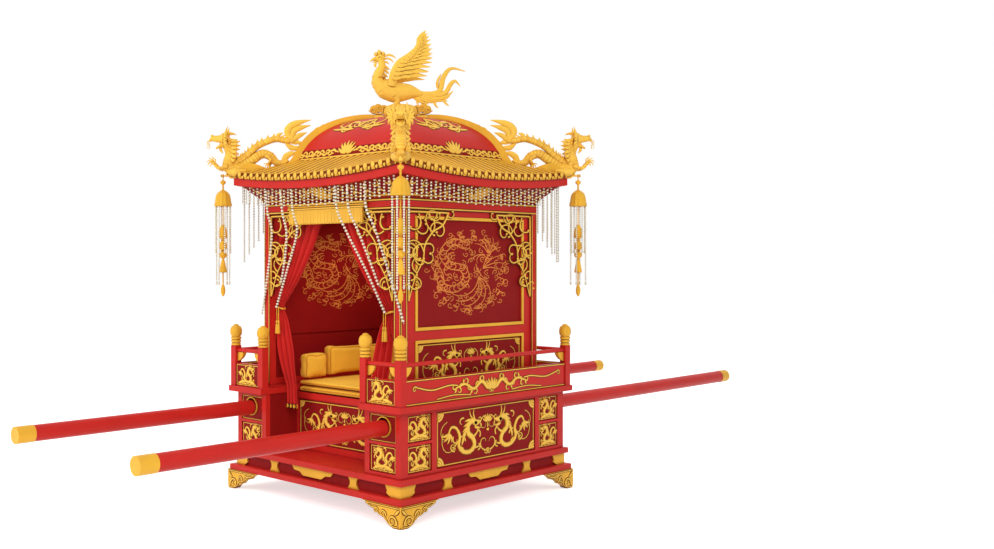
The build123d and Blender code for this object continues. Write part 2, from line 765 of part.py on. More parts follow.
with BuildPart() as fascia:
    with BuildSketch(Plane.XZ.offset(EAVE_HALF)):
        with BuildLine():
            low = FASCIA_Z
            high = FASCIA_Z + FASCIA_H
            ThreePointArc((-EAVE_HALF, low + EAVE_RISE), (0, low), (EAVE_HALF, low + EAVE_RISE))
            Line((EAVE_HALF, low + EAVE_RISE), (EAVE_HALF, high + EAVE_RISE))
            ThreePointArc((EAVE_HALF, high + EAVE_RISE), (0, high), (-EAVE_HALF, high + EAVE_RISE))
            Line((-EAVE_HALF, high + EAVE_RISE), (-EAVE_HALF, low + EAVE_RISE))
        make_face()
    extrude(amount=-FASCIA_T)
    add(mitre.part, mode=Mode.INTERSECT)
write_four(fascia, "eave_fascia", 0)


def tile_outline(height, lift):
    """Closed outline of ribs and pans; height of the middle, and the curve they follow."""
    half = EAVE_HALF + TILE_OVER
    pitch = 2 * half / TILE_RIBS
    with BuildLine() as outline:
        last = (-half, height + lift(half))
        for index in range(TILE_RIBS):
            middle = -half + (index + 0.5) * pitch
            left = (middle - RIB_W / 2, height + lift(middle - RIB_W / 2))
            right = (middle + RIB_W / 2, height + lift(middle + RIB_W / 2))
            crest = (middle, height + lift(middle) + RIB_H)
            Line(last, left)
            ThreePointArc(left, crest, right)
            last = right
        corner = (half, height + lift(half))
        Line(last, corner)
        Line(corner, (half, corner[1] - TILE_T))
        low_mid = (0, height + lift(0) - TILE_T)
        low_left = (-half, height + lift(half) - TILE_T)
        if lift(half) > 0:
            ThreePointArc((half, corner[1] - TILE_T), low_mid, low_left)
        else:
            Line((half, corner[1] - TILE_T), low_left)
        Line(low_left, (-half, height + lift(half)))
    return outline


tile_mitre = mitre_prism(RIDGE_W / 2 + SEAT_GAP)
with BuildPart() as tile_slope:
    with BuildSketch(Plane.XZ.offset(DOME_HALF + SEAT_GAP)):
        add(tile_outline(DOME_FOOT, lambda x: 0).line)
        make_face()
    with BuildSketch(Plane.XZ.offset(EAVE_HALF + TILE_OVER)):
        add(tile_outline(TILE_Z, arc_lift).line)
        make_face()
    loft(ruled=True)
    eave_reach = EAVE_HALF + TILE_OVER
    tile_pitch = 2 * eave_reach / TILE_RIBS
    tile_ends = [(index + 0.5) * tile_pitch - eave_reach for index in range(1, TILE_RIBS - 1)]
    with Locations(*[(across, -eave_reach, TILE_Z + arc_lift(across)) for across in tile_ends]):
        Cylinder(TILE_END_R, TILE_END_T, rotation=(90, 0, 0))
    add(tile_mitre.part, mode=Mode.INTERSECT)
SLOPES = (
    # name, turn about Z from the front
    ("front", 0),
    ("right", 90),
    ("rear", 180),
    ("left", 270),
)
for name, turn in SLOPES:
    with BuildPart(PLAN) as turned:
        with Locations(Location((0, 0, 0), (0, 0, turn))):
            add(tile_slope.part)
    write(turned, f"tiles_{name}")

# Hip ridges, in the plane of the diagonal: x along the diagonal, y up
with BuildPart() as ridge:
    with BuildSketch(Plane.XZ.offset(-RIDGE_W / 2)):
        with BuildLine() as hip_line:
            crown_end = (HIP * DOME_FLAT, DOME_TOP + RIDGE_H / 6)
            crest_mid = (0.52 * DOME_CORNER, DOME_TOP - 0.03 * DOME_H)
            crest_end = (0.73 * DOME_CORNER, DOME_TOP - 0.21 * DOME_H)
            brow_end = (0.98 * DOME_CORNER, DOME_FOOT + 0.16 * DOME_H)
            valley = (0.44 * DOME_CORNER + 0.56 * EAVE_CORNER, EAVE_Z + 0.88 * RIDGE_UP)
            crest = ThreePointArc(crown_end, crest_mid, crest_end)
            brow = TangentArc(crest @ 1, brow_end, tangent=crest % 1)
            sweep_out = TangentArc(brow @ 1, valley, tangent=brow % 1)
            TangentArc(sweep_out @ 1, (EAVE_CORNER, EAVE_Z + RIDGE_UP), tangent=sweep_out % 1)
        trace(hip_line.line, RIDGE_H)
    extrude(amount=RIDGE_W)
write_four(ridge, "hip_ridges", 45)


def dome_profile(half, top):
    """Closed bell outline across the dome, from the drum's foot to the flat on top."""
    spring = DOME_FOOT + DOME_BASE
    brow_x = half * 0.79
    brow_z = DOME_FOOT + 0.7 * (top - DOME_FOOT)
    with BuildLine() as outline:
        Polyline((-half, spring), (-half, CEILING_TOP), (half, CEILING_TOP), (half, spring))
        ThreePointArc((half, spring), (brow_x, brow_z), (DOME_FLAT, top))
        Line((DOME_FLAT, top), (-DOME_FLAT, top))
        ThreePointArc((-DOME_FLAT, top), (-brow_x, brow_z), (-half, spring))
    return outline


def bell(inset):
    """Square bell: the profile run both ways and kept where the two runs meet."""
    half = DOME_HALF - inset
    with BuildPart() as shape:
        with BuildSketch(Plane.XZ):
            add(dome_profile(half, DOME_TOP - inset).line)
            make_face()
        extrude(amount=half, both=True)
        with BuildSketch(Plane.YZ):
            add(dome_profile(half, DOME_TOP - inset).line)
            make_face()
        extrude(amount=half, both=True, mode=Mode.INTERSECT)
    return shape


outer_bell = bell(0)
inner_bell = bell(DOME_T)
with BuildPart(PLAN) as dome:
    add(outer_bell.part)
    add(inner_bell.part, mode=Mode.SUBTRACT)
    with PolarLocations(0, 4, start_angle=45):
        add(ridge.part, mode=Mode.SUBTRACT)
write(dome, "dome")

# Crown pedestal with cloud wings, set along the diagonal the phoenix faces
CROWN = (
    # share of the radius, share of the height
    (1.00, 0.00),
    (1.00, 0.19),
    (0.87, 0.29),
    (0.76, 0.55),
    (0.87, 0.74),
    (0.85, 0.90),
    (0.72, 1.00),
)
CLOUDS = (
    # share of the radius out, share of the height up
    (1.04, 0.74),
    (1.39, 0.81),
    (1.65, 0.71),
)
with BuildPart() as crown:
    with BuildSketch(Plane.XZ):
        with BuildLine():
            crown_edge = [(CROWN_R * share, DOME_TOP + CROWN_H * rise) for share, rise in CROWN]
            Polyline((0, DOME_TOP), *crown_edge, (0, CROWN_TOP), close=True)
        make_face()
    revolve(axis=Axis.Z)
    with BuildSketch(Plane.XZ.offset(-CLOUD_T / 2)):
        for side in (1, -1):
            with Locations(*[(side * CROWN_R * share, DOME_TOP + CROWN_H * rise) for share, rise in CLOUDS]):
                Circle(CLOUD_R)
    extrude(amount=CLOUD_T)
with BuildPart(PLAN) as crown_base:
    with Locations(Location((0, 0, 0), (0, 0, PHOENIX_TURN))):
        add(crown.part)
write(crown_base, "crown_base")

# Phoenix in profile, in shares of its height: forward, then up from the pedestal's top
WING = (
    # forward, up
    (0.10, 0.30),
    (0.06, 0.46),
    (0.01, 0.56),
    (-0.16, 0.68),
    (-0.27, 0.82),
    (-0.34, 1.00),
    (-0.38, 0.86),
    (-0.43, 0.88),
    (-0.43, 0.68),
    (-0.40, 0.50),
    (-0.28, 0.32),
    (-0.10, 0.22),
)
PLUMES = (
    # start, middle and end of each tail plume, then its width
    ((-0.17, 0.20), (-0.54, 0.19), (-0.60, 0.40), 0.085),
    ((-0.60, 0.40), (-0.67, 0.50), (-0.91, 0.48), 0.065),
    ((-0.30, 0.17), (-0.62, 0.18), (-0.70, 0.30), 0.065),
    ((-0.70, 0.30), (-0.76, 0.34), (-0.83, 0.28), 0.050),
    ((-0.20, 0.16), (-0.48, 0.09), (-0.74, 0.20), 0.050),
    ((-0.18, 0.15), (-0.42, 0.08), (-0.66, 0.06), 0.055),
    ((-0.16, 0.14), (-0.34, 0.08), (-0.50, 0.04), 0.055),
    ((-0.60, 0.28), (-0.54, 0.33), (-0.56, 0.44), 0.035),
)
CREST = (
    # forward, up and radius of each lobe of the comb
    (0.36, 0.72, 0.040),
    (0.31, 0.75, 0.045),
    (0.25, 0.73, 0.035),
)
BIRD = Plane((0, 0, CROWN_TOP), x_dir=(1, 0, 0), z_dir=(0, -1, 0))


def bird_points(*shares):
    """Shares of the phoenix's height as points of its profile."""
    return [(PHOENIX_H * forward, PHOENIX_H * up) for forward, up in shares]


with BuildPart(Plane.XY.offset(CROWN_TOP)) as bird:
    with BuildSketch(BIRD):
        with BuildLine():
            breast, back, rump, belly = bird_points((0.36, 0.29), (0.08, 0.33), (-0.26, 0.18), (0.10, 0.08))
            ThreePointArc(breast, back, rump)
            ThreePointArc(rump, belly, breast)
        make_face()
    extrude(amount=0.085 * PHOENIX_H, both=True)
    fillet(bird.edges().filter_by(Axis.Y, reverse=True), 0.03 * PHOENIX_H)
    with BuildLine(BIRD) as neck_line:
        throat = ThreePointArc(*bird_points((0.30, 0.25), (0.33, 0.40), (0.26, 0.50)))
        TangentArc(throat @ 1, bird_points((0.28, 0.64))[0], tangent=throat % 1)
    with BuildSketch(Plane(neck_line.line @ 0, z_dir=neck_line.line % 0)):
        Circle(0.085 * PHOENIX_H)
    with BuildSketch(Plane(neck_line.line @ 1, z_dir=neck_line.line % 1)):
        Circle(0.045 * PHOENIX_H)
    sweep(path=neck_line.line, multisection=True)
    with Locations((0.28 * PHOENIX_H, 0, 0.65 * PHOENIX_H)):
        Sphere(0.064 * PHOENIX_H)
    with Locations((0.37 * PHOENIX_H, 0, 0.63 * PHOENIX_H)):
        Cone(0.042 * PHOENIX_H, 0.007 * PHOENIX_H, 0.14 * PHOENIX_H, rotation=(0, 98, 0))
    for forward, up, radius in CREST:
        with Locations((forward * PHOENIX_H, 0, up * PHOENIX_H)):
            Cylinder(radius * PHOENIX_H, 0.04 * PHOENIX_H, rotation=(90, 0, 0))
    for first, middle, last, width in PLUMES:
        with BuildSketch(BIRD):
            with BuildLine() as plume:
                ThreePointArc(*bird_points(first, middle, last))
            trace(plume.line, width * PHOENIX_H)
        extrude(amount=0.022 * PHOENIX_H, both=True)
    for lean in (1, -1):
        wing_plane = Plane(
            (0, lean * 0.054 * PHOENIX_H, CROWN_TOP), x_dir=(1, 0, 0), z_dir=(0, -1, lean * 0.22)
        )
        with BuildSketch(wing_plane):
            with BuildLine():
                Polyline(*bird_points(*WING), close=True)
            make_face()
        extrude(amount=0.017 * PHOENIX_H, both=True)
    leg_x = 0.04 * PHOENIX_H
    with Locations((leg_x, leg_x, 0), (leg_x, -leg_x, 0)):
        Cylinder(0.022 * PHOENIX_H, 0.16 * PHOENIX_H, align=STANDING)
with BuildPart(PLAN) as phoenix:
    with Locations(Location((0, 0, 0), (0, 0, PHOENIX_TURN))):
        add(bird.part)
write(phoenix, "phoenix")

# Dragons on the hips, in the plane of the diagonal, each with the pin its pendant hangs on
FLAMES = (
    # root, swell and tip of the outer edge, then the swell and root of the inner edge
    ((-0.64, 0.49), (-0.76, 0.68), (-0.99, 0.73), (-0.84, 0.60), (-0.76, 0.45)),
    ((-0.70, 0.42), (-0.76, 0.36), (-0.86, 0.33), (-0.80, 0.40), (-0.82, 0.46)),
    ((-0.55, 0.22), (-0.66, 0.33), (-0.80, 0.35), (-0.72, 0.26), (-0.66, 0.18)),
)
MANE = (
    # root of each tuft behind the head, out and up, then its turn from the diagonal
    (0.06, 0.52, 205),
    (0.03, 0.46, 190),
    (0.03, 0.40, 172),
    (0.04, 0.34, 158),
)


def hip_points(*shares):
    """Shares of the dragon's length, out and up from the eave's corner, as points of the diagonal plane."""
    return [(EAVE_CORNER + DRAGON_L * out, EAVE_Z + DRAGON_L * up) for out, up in shares]


def hip_place(out, up, side=0):
    """The same shares as a place in space, side to side of the diagonal plane."""
    return (EAVE_CORNER + DRAGON_L * out, DRAGON_L * side, EAVE_Z + DRAGON_L * up)


with BuildPart() as dragon:
    with BuildLine(Plane.XZ) as body_line:
        neck = ThreePointArc(*hip_points((0.13, 0.42), (0.05, 0.32), (0.075, 0.21)))
        chest = TangentArc(neck @ 1, hip_points((-0.06, 0.175))[0], tangent=neck % 1)
        hump = TangentArc(chest @ 1, hip_points((-0.375, 0.31))[0], tangent=chest % 1)
        TangentArc(hump @ 1, hip_points((-0.59, 0.245))[0], tangent=hump % 1)
    with BuildSketch(Plane(body_line.line @ 0, z_dir=body_line.line % 0)):
        Circle(DRAGON_R)
    sweep(path=body_line.line)
    with BuildLine(Plane.XZ) as tail_line:
        rise = ThreePointArc(*hip_points((-0.11, 0.19), (-0.265, 0.35), (-0.47, 0.49)))
        TangentArc(rise @ 1, hip_points((-0.88, 0.43))[0], tangent=rise % 1)
    with BuildSketch(Plane(tail_line.line @ 0, z_dir=tail_line.line % 0)):
        Circle(TAIL_R)
    sweep(path=tail_line.line)
    for root, swell, tip, inner_swell, inner_root in FLAMES:
        with BuildSketch(Plane.XZ):
            with BuildLine():
                ThreePointArc(*hip_points(root, swell, tip))
                ThreePointArc(*hip_points(tip, inner_swell, inner_root))
                Line(*hip_points(inner_root, root))
            make_face()
        extrude(amount=FLAME_T / 2, both=True)
    with Locations(hip_place(0.13, 0.455)):
        Sphere(0.088 * DRAGON_L)
    with Locations(hip_place(0.225, 0.475)):
        Cone(0.07 * DRAGON_L, 0.035 * DRAGON_L, 0.16 * DRAGON_L, rotation=(0, 84, 0))
    with Locations(hip_place(0.20, 0.385)):
        Cone(0.04 * DRAGON_L, 0.018 * DRAGON_L, 0.13 * DRAGON_L, rotation=(0, 112, 0))
    for out, up, turn in MANE:
        with Locations(hip_place(out, up)):
            Cone(0.04 * DRAGON_L, 0.004 * DRAGON_L, 0.16 * DRAGON_L, rotation=(0, turn + 90, 0))
    with Locations(hip_place(0.04, 0.52, 0.04), hip_place(0.04, 0.52, -0.04)):
        Cone(0.022 * DRAGON_L, 0.006 * DRAGON_L, 0.21 * DRAGON_L, rotation=(0, -65, 0))
    with Locations(hip_place(0.17, 0.185, 0.058), hip_place(0.17, 0.185, -0.058)):
        Cylinder(0.029 * DRAGON_L, 0.21 * DRAGON_L, rotation=(0, 68, 0))
    hanger_h = DRAGON_L * 0.175 - PENDANT_UP
    with Locations((PENDANT_AT - PIN_L / 2, 0, PENDANT_Z)):
        Box(2 * PIN_R, 3 * PIN_R, hanger_h, align=STANDING)
    with Locations((PENDANT_AT - PIN_L / 4, 0, PENDANT_Z)):
        Cylinder(PIN_R, PIN_L, rotation=(0, 90, 0))
    with Locations((PENDANT_AT + PIN_L / 4, 0, PENDANT_Z)):
        Cylinder(2 * PIN_R, PIN_R, rotation=(0, 90, 0))
    add(ridge.part, mode=Mode.SUBTRACT)
write_four(dragon, "dragons", 45)

# Pendants: an eye on the pin, a cord, the bell, its four strands and the drops below
eye_z = PENDANT_Z - (EYE_R - PIN_R - SEAT_GAP)
PENDANT = (
    # share of the bell's radius, share of the length down from the pin
    (0.06, 0.015),
    (0.06, 0.034),
    (0.31, 0.045),
    (0.31, 0.063),
    (0.10, 0.075),
    (0.10, 0.115),
    (0.45, 0.130),
    (0.78, 0.162),
    (0.92, 0.217),
    (1.00, 0.252),
    (0.84, 0.252),
    (0.12, 0.202),
    (0.06, 0.261),
    (0.06, 0.406),
    (0.24, 0.415),
    (0.47, 0.470),
    (0.24, 0.525),
    (0.12, 0.534),
    (0.18, 0.557),
    (0.18, 0.609),
    (0.10, 0.621),
    (0.45, 0.641),
    (0.45, 0.670),
    (0.10, 0.691),
    (0.18, 0.702),
    (0.45, 0.798),
    (0.08, 0.801),
    (0.08, 0.900),
    (0.18, 0.915),
    (0.27, 0.973),
    (0.08, 1.000),
)
with BuildPart() as pendant:
    with BuildSketch(Plane.XZ):
        with BuildLine():
            edge = [(BELL_R * share, eye_z - PENDANT_L * drop) for share, drop in PENDANT]
            Polyline((0, edge[0][1]), *edge, (0, edge[-1][1]), close=True)
        make_face()
    revolve(axis=Axis.Z)
    with Locations((0, 0, eye_z)):
        Cylinder(EYE_OUT, EYE_T, rotation=(0, 90, 0))
        Cylinder(EYE_R, 2 * EYE_T, rotation=(0, 90, 0), mode=Mode.SUBTRACT)
    strand_top = eye_z - PENDANT_L * 0.249
    strand_foot = eye_z - PENDANT_L * 0.889
    with PolarLocations(BELL_R - 1.5 * STRAND_R, 4, start_angle=45):
        with Locations((0, 0, strand_foot)):
            Cylinder(STRAND_R, strand_top - strand_foot, align=STANDING)
CORNERS = (
    # name, turn about Z
    ("front_right", -45),
    ("rear_right", 45),
    ("rear_left", 135),
    ("front_left", 225),
)
for name, turn in CORNERS:
    with BuildPart(PLAN) as hung:
        with Locations(Location((0, 0, 0), (0, 0, turn))):
            with Locations((PENDANT_AT, 0, 0)):
                add(pendant.part)
    write(hung, f"pendant_{name}")

# Bead fringe under the eave
with BuildPart() as fringe:
    count = int(2 * (BEAD_AT - BEAD_SET) / BEAD_PITCH)
    for index in range(count):
        along = (index - (count - 1) / 2) * BEAD_PITCH
        with Locations((along, -BEAD_AT, FASCIA_Z + arc_lift(along) - 3 * SEAT_GAP)):
            Cylinder(BEAD_R, BEAD_L, align=(Align.CENTER, Align.CENTER, Align.MAX))
write_four(fringe, "bead_fringe", 0)

# Carrying poles and their gilt end caps
for name, sign in (("left", -1), ("right", 1)):
    bare = POLE_LENGTH - 2 * CAP_LENGTH
    with BuildPart() as pole:
        with Locations((sign * POLE_X, 0, POLE_Z)):
            Cylinder(POLE_R, bare, rotation=(90, 0, 0))
    write(pole, f"pole_{name}")
    with BuildPart() as caps:
        cap_y = POLE_LENGTH / 2 - CAP_LENGTH / 2
        with Locations((sign * POLE_X, cap_y, POLE_Z), (sign * POLE_X, -cap_y, POLE_Z)):
            Cylinder(CAP_R, CAP_LENGTH, rotation=(90, 0, 0))
    write(caps, f"pole_caps_{name}")
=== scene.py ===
"""Looks of the bridal sedan chair: carving, cloth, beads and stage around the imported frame."""

import json
from math import pi, radians

import bmesh
import bpy
import numpy as np
from bpy.props import FloatProperty, FloatVectorProperty, IntProperty, PointerProperty
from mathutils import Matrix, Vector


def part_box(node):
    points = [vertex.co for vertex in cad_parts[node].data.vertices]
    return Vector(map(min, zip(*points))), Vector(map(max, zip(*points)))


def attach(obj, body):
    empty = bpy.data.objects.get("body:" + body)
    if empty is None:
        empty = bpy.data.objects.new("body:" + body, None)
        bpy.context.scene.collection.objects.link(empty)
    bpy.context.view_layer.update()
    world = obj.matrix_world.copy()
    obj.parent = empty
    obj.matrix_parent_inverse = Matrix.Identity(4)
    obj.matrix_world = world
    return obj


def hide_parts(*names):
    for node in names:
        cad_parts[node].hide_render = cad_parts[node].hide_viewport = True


bl_info = {
    "name": "Bridal sedan chair",
    "version": (1, 0, 0),
    "blender": (4, 5, 0),
    "location": "View3D > Sidebar > Sedan chair",
    "description": "Builds the carving, cloth, beads and stage of a bridal sedan chair",
    "category": "Object",
}

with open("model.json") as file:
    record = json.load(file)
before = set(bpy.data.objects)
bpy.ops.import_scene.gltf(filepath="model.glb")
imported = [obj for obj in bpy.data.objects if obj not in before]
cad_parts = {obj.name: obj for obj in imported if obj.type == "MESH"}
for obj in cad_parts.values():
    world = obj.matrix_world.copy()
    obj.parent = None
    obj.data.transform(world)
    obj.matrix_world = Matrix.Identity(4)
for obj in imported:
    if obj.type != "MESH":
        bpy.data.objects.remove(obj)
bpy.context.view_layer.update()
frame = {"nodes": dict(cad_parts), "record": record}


def node_box(name):
    """Lowest and highest corner of a CAD node as one array."""
    return np.array([list(corner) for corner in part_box(name)])


MID_Y = float(node_box("plinth")[:, 1].mean())

# Angle from a bead's axis to the edge of its hole
BEAD_HOLE = 0.12
# Height of a thin ground plate above its face, how far it is let in, and height of the carving's brim, which
# a carved finish paints dark as a shadow outline
GROUND_RISE = 0.0003
GROUND_SINK = 0.0004
BRIM_RISE = 0.0012
# The dome's arc: its start below the foot, and its brow in shares of the half width and the rise
DOME_SUNK = 0.01
BROW_OUT = 0.79
BROW_UP = 0.7


# Shapes: vertices, quads, triangles and a crest value per vertex


def merge(shapes):
    """One shape from many: vertices stacked, faces moved on by the vertices before them."""
    starts = np.cumsum([0] + [len(shape[0]) for shape in shapes[:-1]])
    vertices = np.vstack([shape[0] for shape in shapes])
    quads = np.vstack([shape[1] + start for shape, start in zip(shapes, starts)])
    triangles = np.vstack([shape[2] + start for shape, start in zip(shapes, starts)])
    crest = np.concatenate([shape[3] for shape in shapes])
    return vertices, quads, triangles, crest


def skin(rings, crest):
    """Closed skin over rows of rings: quads between neighbouring rings, and a fan over each end."""
    rows, columns = rings.shape[:2]
    index = np.arange(rows * columns).reshape(rows, columns)
    after = np.roll(index, -1, axis=1)
    quads = np.stack([index[:-1], after[:-1], after[1:], index[1:]], axis=-1).reshape(-1, 4)
    spoke = np.arange(1, columns - 1)
    fan = np.stack([np.zeros_like(spoke), spoke + 1, spoke], axis=-1)
    triangles = np.vstack([fan, fan[:, ::-1] + (rows - 1) * columns])
    return rings.reshape(-1, 3), quads, triangles, np.broadcast_to(crest, (rows, columns)).reshape(-1)


def unit(vectors):
    """Vectors scaled to length one."""
    return vectors / np.maximum(np.linalg.norm(vectors, axis=-1, keepdims=True), 1e-9)


def sweep(path, side, wide, thick, columns=8, crest=0.8):
    """Closed bar along a path: at each point an ellipse, wide along the side vector, thick across it."""
    path = np.asarray(path, float)
    tangent = unit(np.gradient(path, axis=0))
    side = np.broadcast_to(np.asarray(side, float), path.shape)
    side = unit(side - tangent * np.sum(side * tangent, axis=1, keepdims=True))
    across = np.cross(tangent, side)
    angle = np.linspace(0, 2 * pi, columns, endpoint=False)
    half_wide = np.broadcast_to(wide, len(path))[:, None, None] / 2
    half_thick = np.broadcast_to(thick, len(path))[:, None, None] / 2
    turn_wide = np.cos(angle)[None, :, None] * side[:, None] * half_wide
    turn_thick = np.sin(angle)[None, :, None] * across[:, None] * half_thick
    return skin(path[:, None] + turn_wide + turn_thick, crest)


def lathe(profile, centre=(0, 0, 0), columns=20, ribs=0, swell=0.0, crest=0.8):
    """Turned form: radius and height pairs run round an upright axis; ribs make the radius wave."""
    profile = np.asarray(profile, float)
    angle = np.linspace(0, 2 * pi, columns, endpoint=False)
    radius = profile[:, 0, None] * (1 + swell * np.cos(ribs * angle))
    height = np.broadcast_to(profile[:, 1, None], radius.shape)
    rings = np.stack([radius * np.cos(angle), radius * np.sin(angle), height], axis=-1)
    return skin(rings + np.asarray(centre, float), crest)


def ball(radius, rows=5, columns=8):
    """Round bead: a half circle of radius and height pairs run round the upright axis.

    Its crest is the sine of the angle from the axis, so that it is low at the holes, where the pearl finish
    paints shade between neighbouring beads.
    """
    turn = np.linspace(BEAD_HOLE, pi - BEAD_HOLE, rows)
    half_circle = np.stack([radius * np.sin(turn), -radius * np.cos(turn)], axis=1)
    return lathe(half_circle, columns=columns, crest=np.sin(turn)[:, None])


def copies(shape, places):
    """The same shape set at many places: its vertices added to every place in turn."""
    vertices, quads, triangles, crest = shape
    places = np.asarray(places, float)
    count = len(places)
    shifts = np.arange(count)[:, None, None] * len(vertices)
    return (
        (places[:, None] + vertices[None]).reshape(-1, 3),
        (quads[None] + shifts).reshape(-1, 4),
        (triangles[None] + shifts).reshape(-1, 3),
        np.tile(crest, count),
    )


def turned(shape, degrees, centre=(0, 0, 0)):
    """A shape turned about the upright axis through centre, by a plane rotation of x and y."""
    vertices, quads, triangles, crest = shape
    angle = radians(degrees)
    centre = np.asarray(centre, float)
    spin = np.array([[np.cos(angle), np.sin(angle), 0], [-np.sin(angle), np.cos(angle), 0], [0, 0, 1]])
    return (vertices - centre) @ spin + centre, quads, triangles, crest


def shifted(shape, offset):
    """A shape moved by an offset added to every vertex."""
    return (shape[0] + np.asarray(offset, float),) + shape[1:]


def at_corners(shape):
    """A shape drawn along +X from the cabin's middle, turned out to the four corners."""
    placed = shifted(shape, (0, MID_Y, 0))
    return [turned(placed, degrees, (0, MID_Y, 0)) for degrees in (45, 135, 225, 315)]


def limb(points, wide, thick=None, rings=0, steps=6, columns=8):
    """Rounded limb through points: width to the sides, thickness in the upright plane, eased from end to end.

    Points are x, z pairs or x, y, z triples. Rings band the limb like scales, by a saw tooth of width and
    crest, so that a carved finish paints each scale from shade to highlight.
    """
    knots = np.asarray(points, float)
    if knots.shape[1] == 2:
        knots = np.insert(knots, 1, 0, axis=1)
    path = through(knots, steps)
    share = np.linspace(0, 1, len(path))
    wide = np.interp(share, np.linspace(0, 1, len(wide)), wide)
    thick = wide if thick is None else np.interp(share, np.linspace(0, 1, len(thick)), thick)
    band = share * rings % 1 if rings else np.full(len(path), 0.7)
    grow = 0.98 + 0.035 * band
    return sweep(path, (0, 1, 0), wide * grow, thick * grow, columns, (0.55 + 0.4 * band)[:, None])


def scroll(x, z, heading, length, turn, wide, y=0.0):
    """Scroll in the upright plane at y: the curl stroke run as a round bar."""
    path, width = curl(x, z, heading, length, turn, wide)
    return sweep(np.insert(path, 1, y, axis=1), (0, 1, 0), width, width, 6, 0.75)


def mirrored(shape):
    """A shape with its mirror image to the other side of the upright plane y = 0."""
    vertices, quads, triangles, crest = shape
    other = (vertices * (1, -1, 1), quads[:, ::-1], triangles[:, ::-1], crest)
    return merge([shape, other])


def slab(x, y, width, height, place, thick=GROUND_RISE):
    """Thin plate on a face: four corners let into the ground and the same four raised by its thickness."""
    corners = np.array([(-1, -1), (1, -1), (1, 1), (-1, 1)]) * (width / 2, height / 2) + (x, y)
    levels = [np.column_stack([corners, np.full(4, level)]) for level in (-GROUND_SINK, thick)]
    return skin(place(np.stack(levels)), 0.5)


def holed_slab(x, y, width, height, hole, place):
    """Thin plate with a round hole: at each angle a spoke from the hole's circle to the plate's edge."""
    angle = np.linspace(0, 2 * pi, 97)
    ray = np.stack([np.cos(angle), np.sin(angle)], axis=1)
    centre = np.array(hole[:2])
    edge = np.array([x, y]) + np.sign(ray) * (width / 2, height / 2)
    reach = np.min((edge - centre) * np.sign(ray) / np.maximum(np.abs(ray), 1e-6), axis=1)
    inner = centre + ray * hole[2]
    outer = centre + ray * reach[:, None]
    loops = [(inner, -GROUND_SINK), (outer, -GROUND_SINK), (outer, GROUND_RISE), (inner, GROUND_RISE)]
    rings = [np.column_stack([points, np.full(len(points), level)]) for points, level in loops]
    return skin(place(np.stack(rings, axis=1)), 0.5)


# Flat drawings: lists of strokes, each a path of x, y points with a width at every point


def through(points, steps=6):
    """Smooth path through points: the cubic that passes each point along its neighbours' chord."""
    knots = np.asarray(points, float)
    ends = np.vstack([2 * knots[0] - knots[1], knots, 2 * knots[-1] - knots[-2]])
    share = np.linspace(0, 1, steps, endpoint=False)[None, :, None]
    a, b, c, d = (ends[i : len(ends) - 3 + i, None] for i in range(4))
    cubic = 2 * b + (c - a) * share + (2 * a - 5 * b + 4 * c - d) * share**2
    cubic = (cubic + (3 * b - a - 3 * c + d) * share**3) / 2
    return np.vstack([cubic.reshape(-1, knots.shape[1]), knots[-1:]])


def curl(x, y, heading, length, turn, wide, tip=0.25, power=1.5, steps=11):
    """Scroll stroke: sets off along heading and turns by turn degrees in all, faster near its end."""
    share = np.linspace(0, 1, steps)
    angle = np.radians(heading + turn * share**power)
    moves = np.stack([np.cos(angle), np.sin(angle)], axis=1) * length / (steps - 1)
    path = np.vstack([[0, 0], np.cumsum((moves[:-1] + moves[1:]) / 2, axis=0)]) + (x, y)
    return path, wide * (tip + (1 - tip) * (1 - share**2))


def leaf(x, y, heading, length, turn, wide, steps=8):
    """Leaf or petal: a gently bent stroke whose width swells as a half sine and closes at both ends."""
    path = curl(x, y, heading, length, turn, wide, power=1, steps=steps)[0]
    return path, wide * (0.06 + 0.94 * np.sin(pi * np.linspace(0, 1, steps) ** 0.75))


def dot(x, y, radius, steps=6):
    """Round boss: a short stroke whose width follows a circle."""
    share = np.linspace(-1, 1, steps) * 0.97
    path = np.stack([x + radius * share, np.full(steps, y)], axis=1)
    return path, 2 * radius * np.sqrt(1 - share**2)


def line(points, wide, steps=6):
    """Even stroke along the smooth path through points."""
    path = through(points, steps)
    return path, np.full(len(path), wide)


def bar(points, wide):
    """Straight even strokes from point to point."""
    points = np.asarray(points, float)
    return [(np.stack([a, (a + b) / 2, b]), np.full(3, wide)) for a, b in zip(points[:-1], points[1:])]


def moved(drawing, x=0, y=0, scale=1.0, flip=False, turn=0):
    """A drawing mirrored, turned, scaled and moved, its widths scaled with it."""
    angle = radians(turn)
    spin = np.array([[np.cos(angle), np.sin(angle)], [-np.sin(angle), np.cos(angle)]])
    sign = np.array([-1 if flip else 1, 1])
    return [((path * sign) @ spin * scale + (x, y), width * scale) for path, width in drawing]


def both(drawing):
    """A drawing with its mirror image across x = 0."""
    return drawing + moved(drawing, flip=True)


def carve(drawing, place, rise=0.45, most=0.009, brim=0.003):
    """Strokes raised from a face: half an ellipse across each path with a thin brim to both sides, which a
    carved finish paints dark as a shadow outline.
    """
    angle = np.linspace(0, pi, 4)
    across = np.concatenate([[1], np.cos(angle), [-1]])
    past = np.array([1, 0, 0, 0, 0, -1]) * brim
    up = np.concatenate([[0], np.sin(angle), [0]])
    base = np.array([0, BRIM_RISE, 0, 0, BRIM_RISE, 0])
    shapes = []
    for path, width in drawing:
        tangent = unit(np.gradient(path, axis=0))
        side = np.stack([-tangent[:, 1], tangent[:, 0]], axis=1)
        offset = side[:, None] * (across * width[:, None] / 2 + past)[..., None]
        height = up * np.minimum(width * rise, most)[:, None] + base
        flat = np.concatenate([path[:, None] + offset, height[..., None]], axis=-1)
        shapes.append(skin(place(flat), up))
    return merge(shapes)


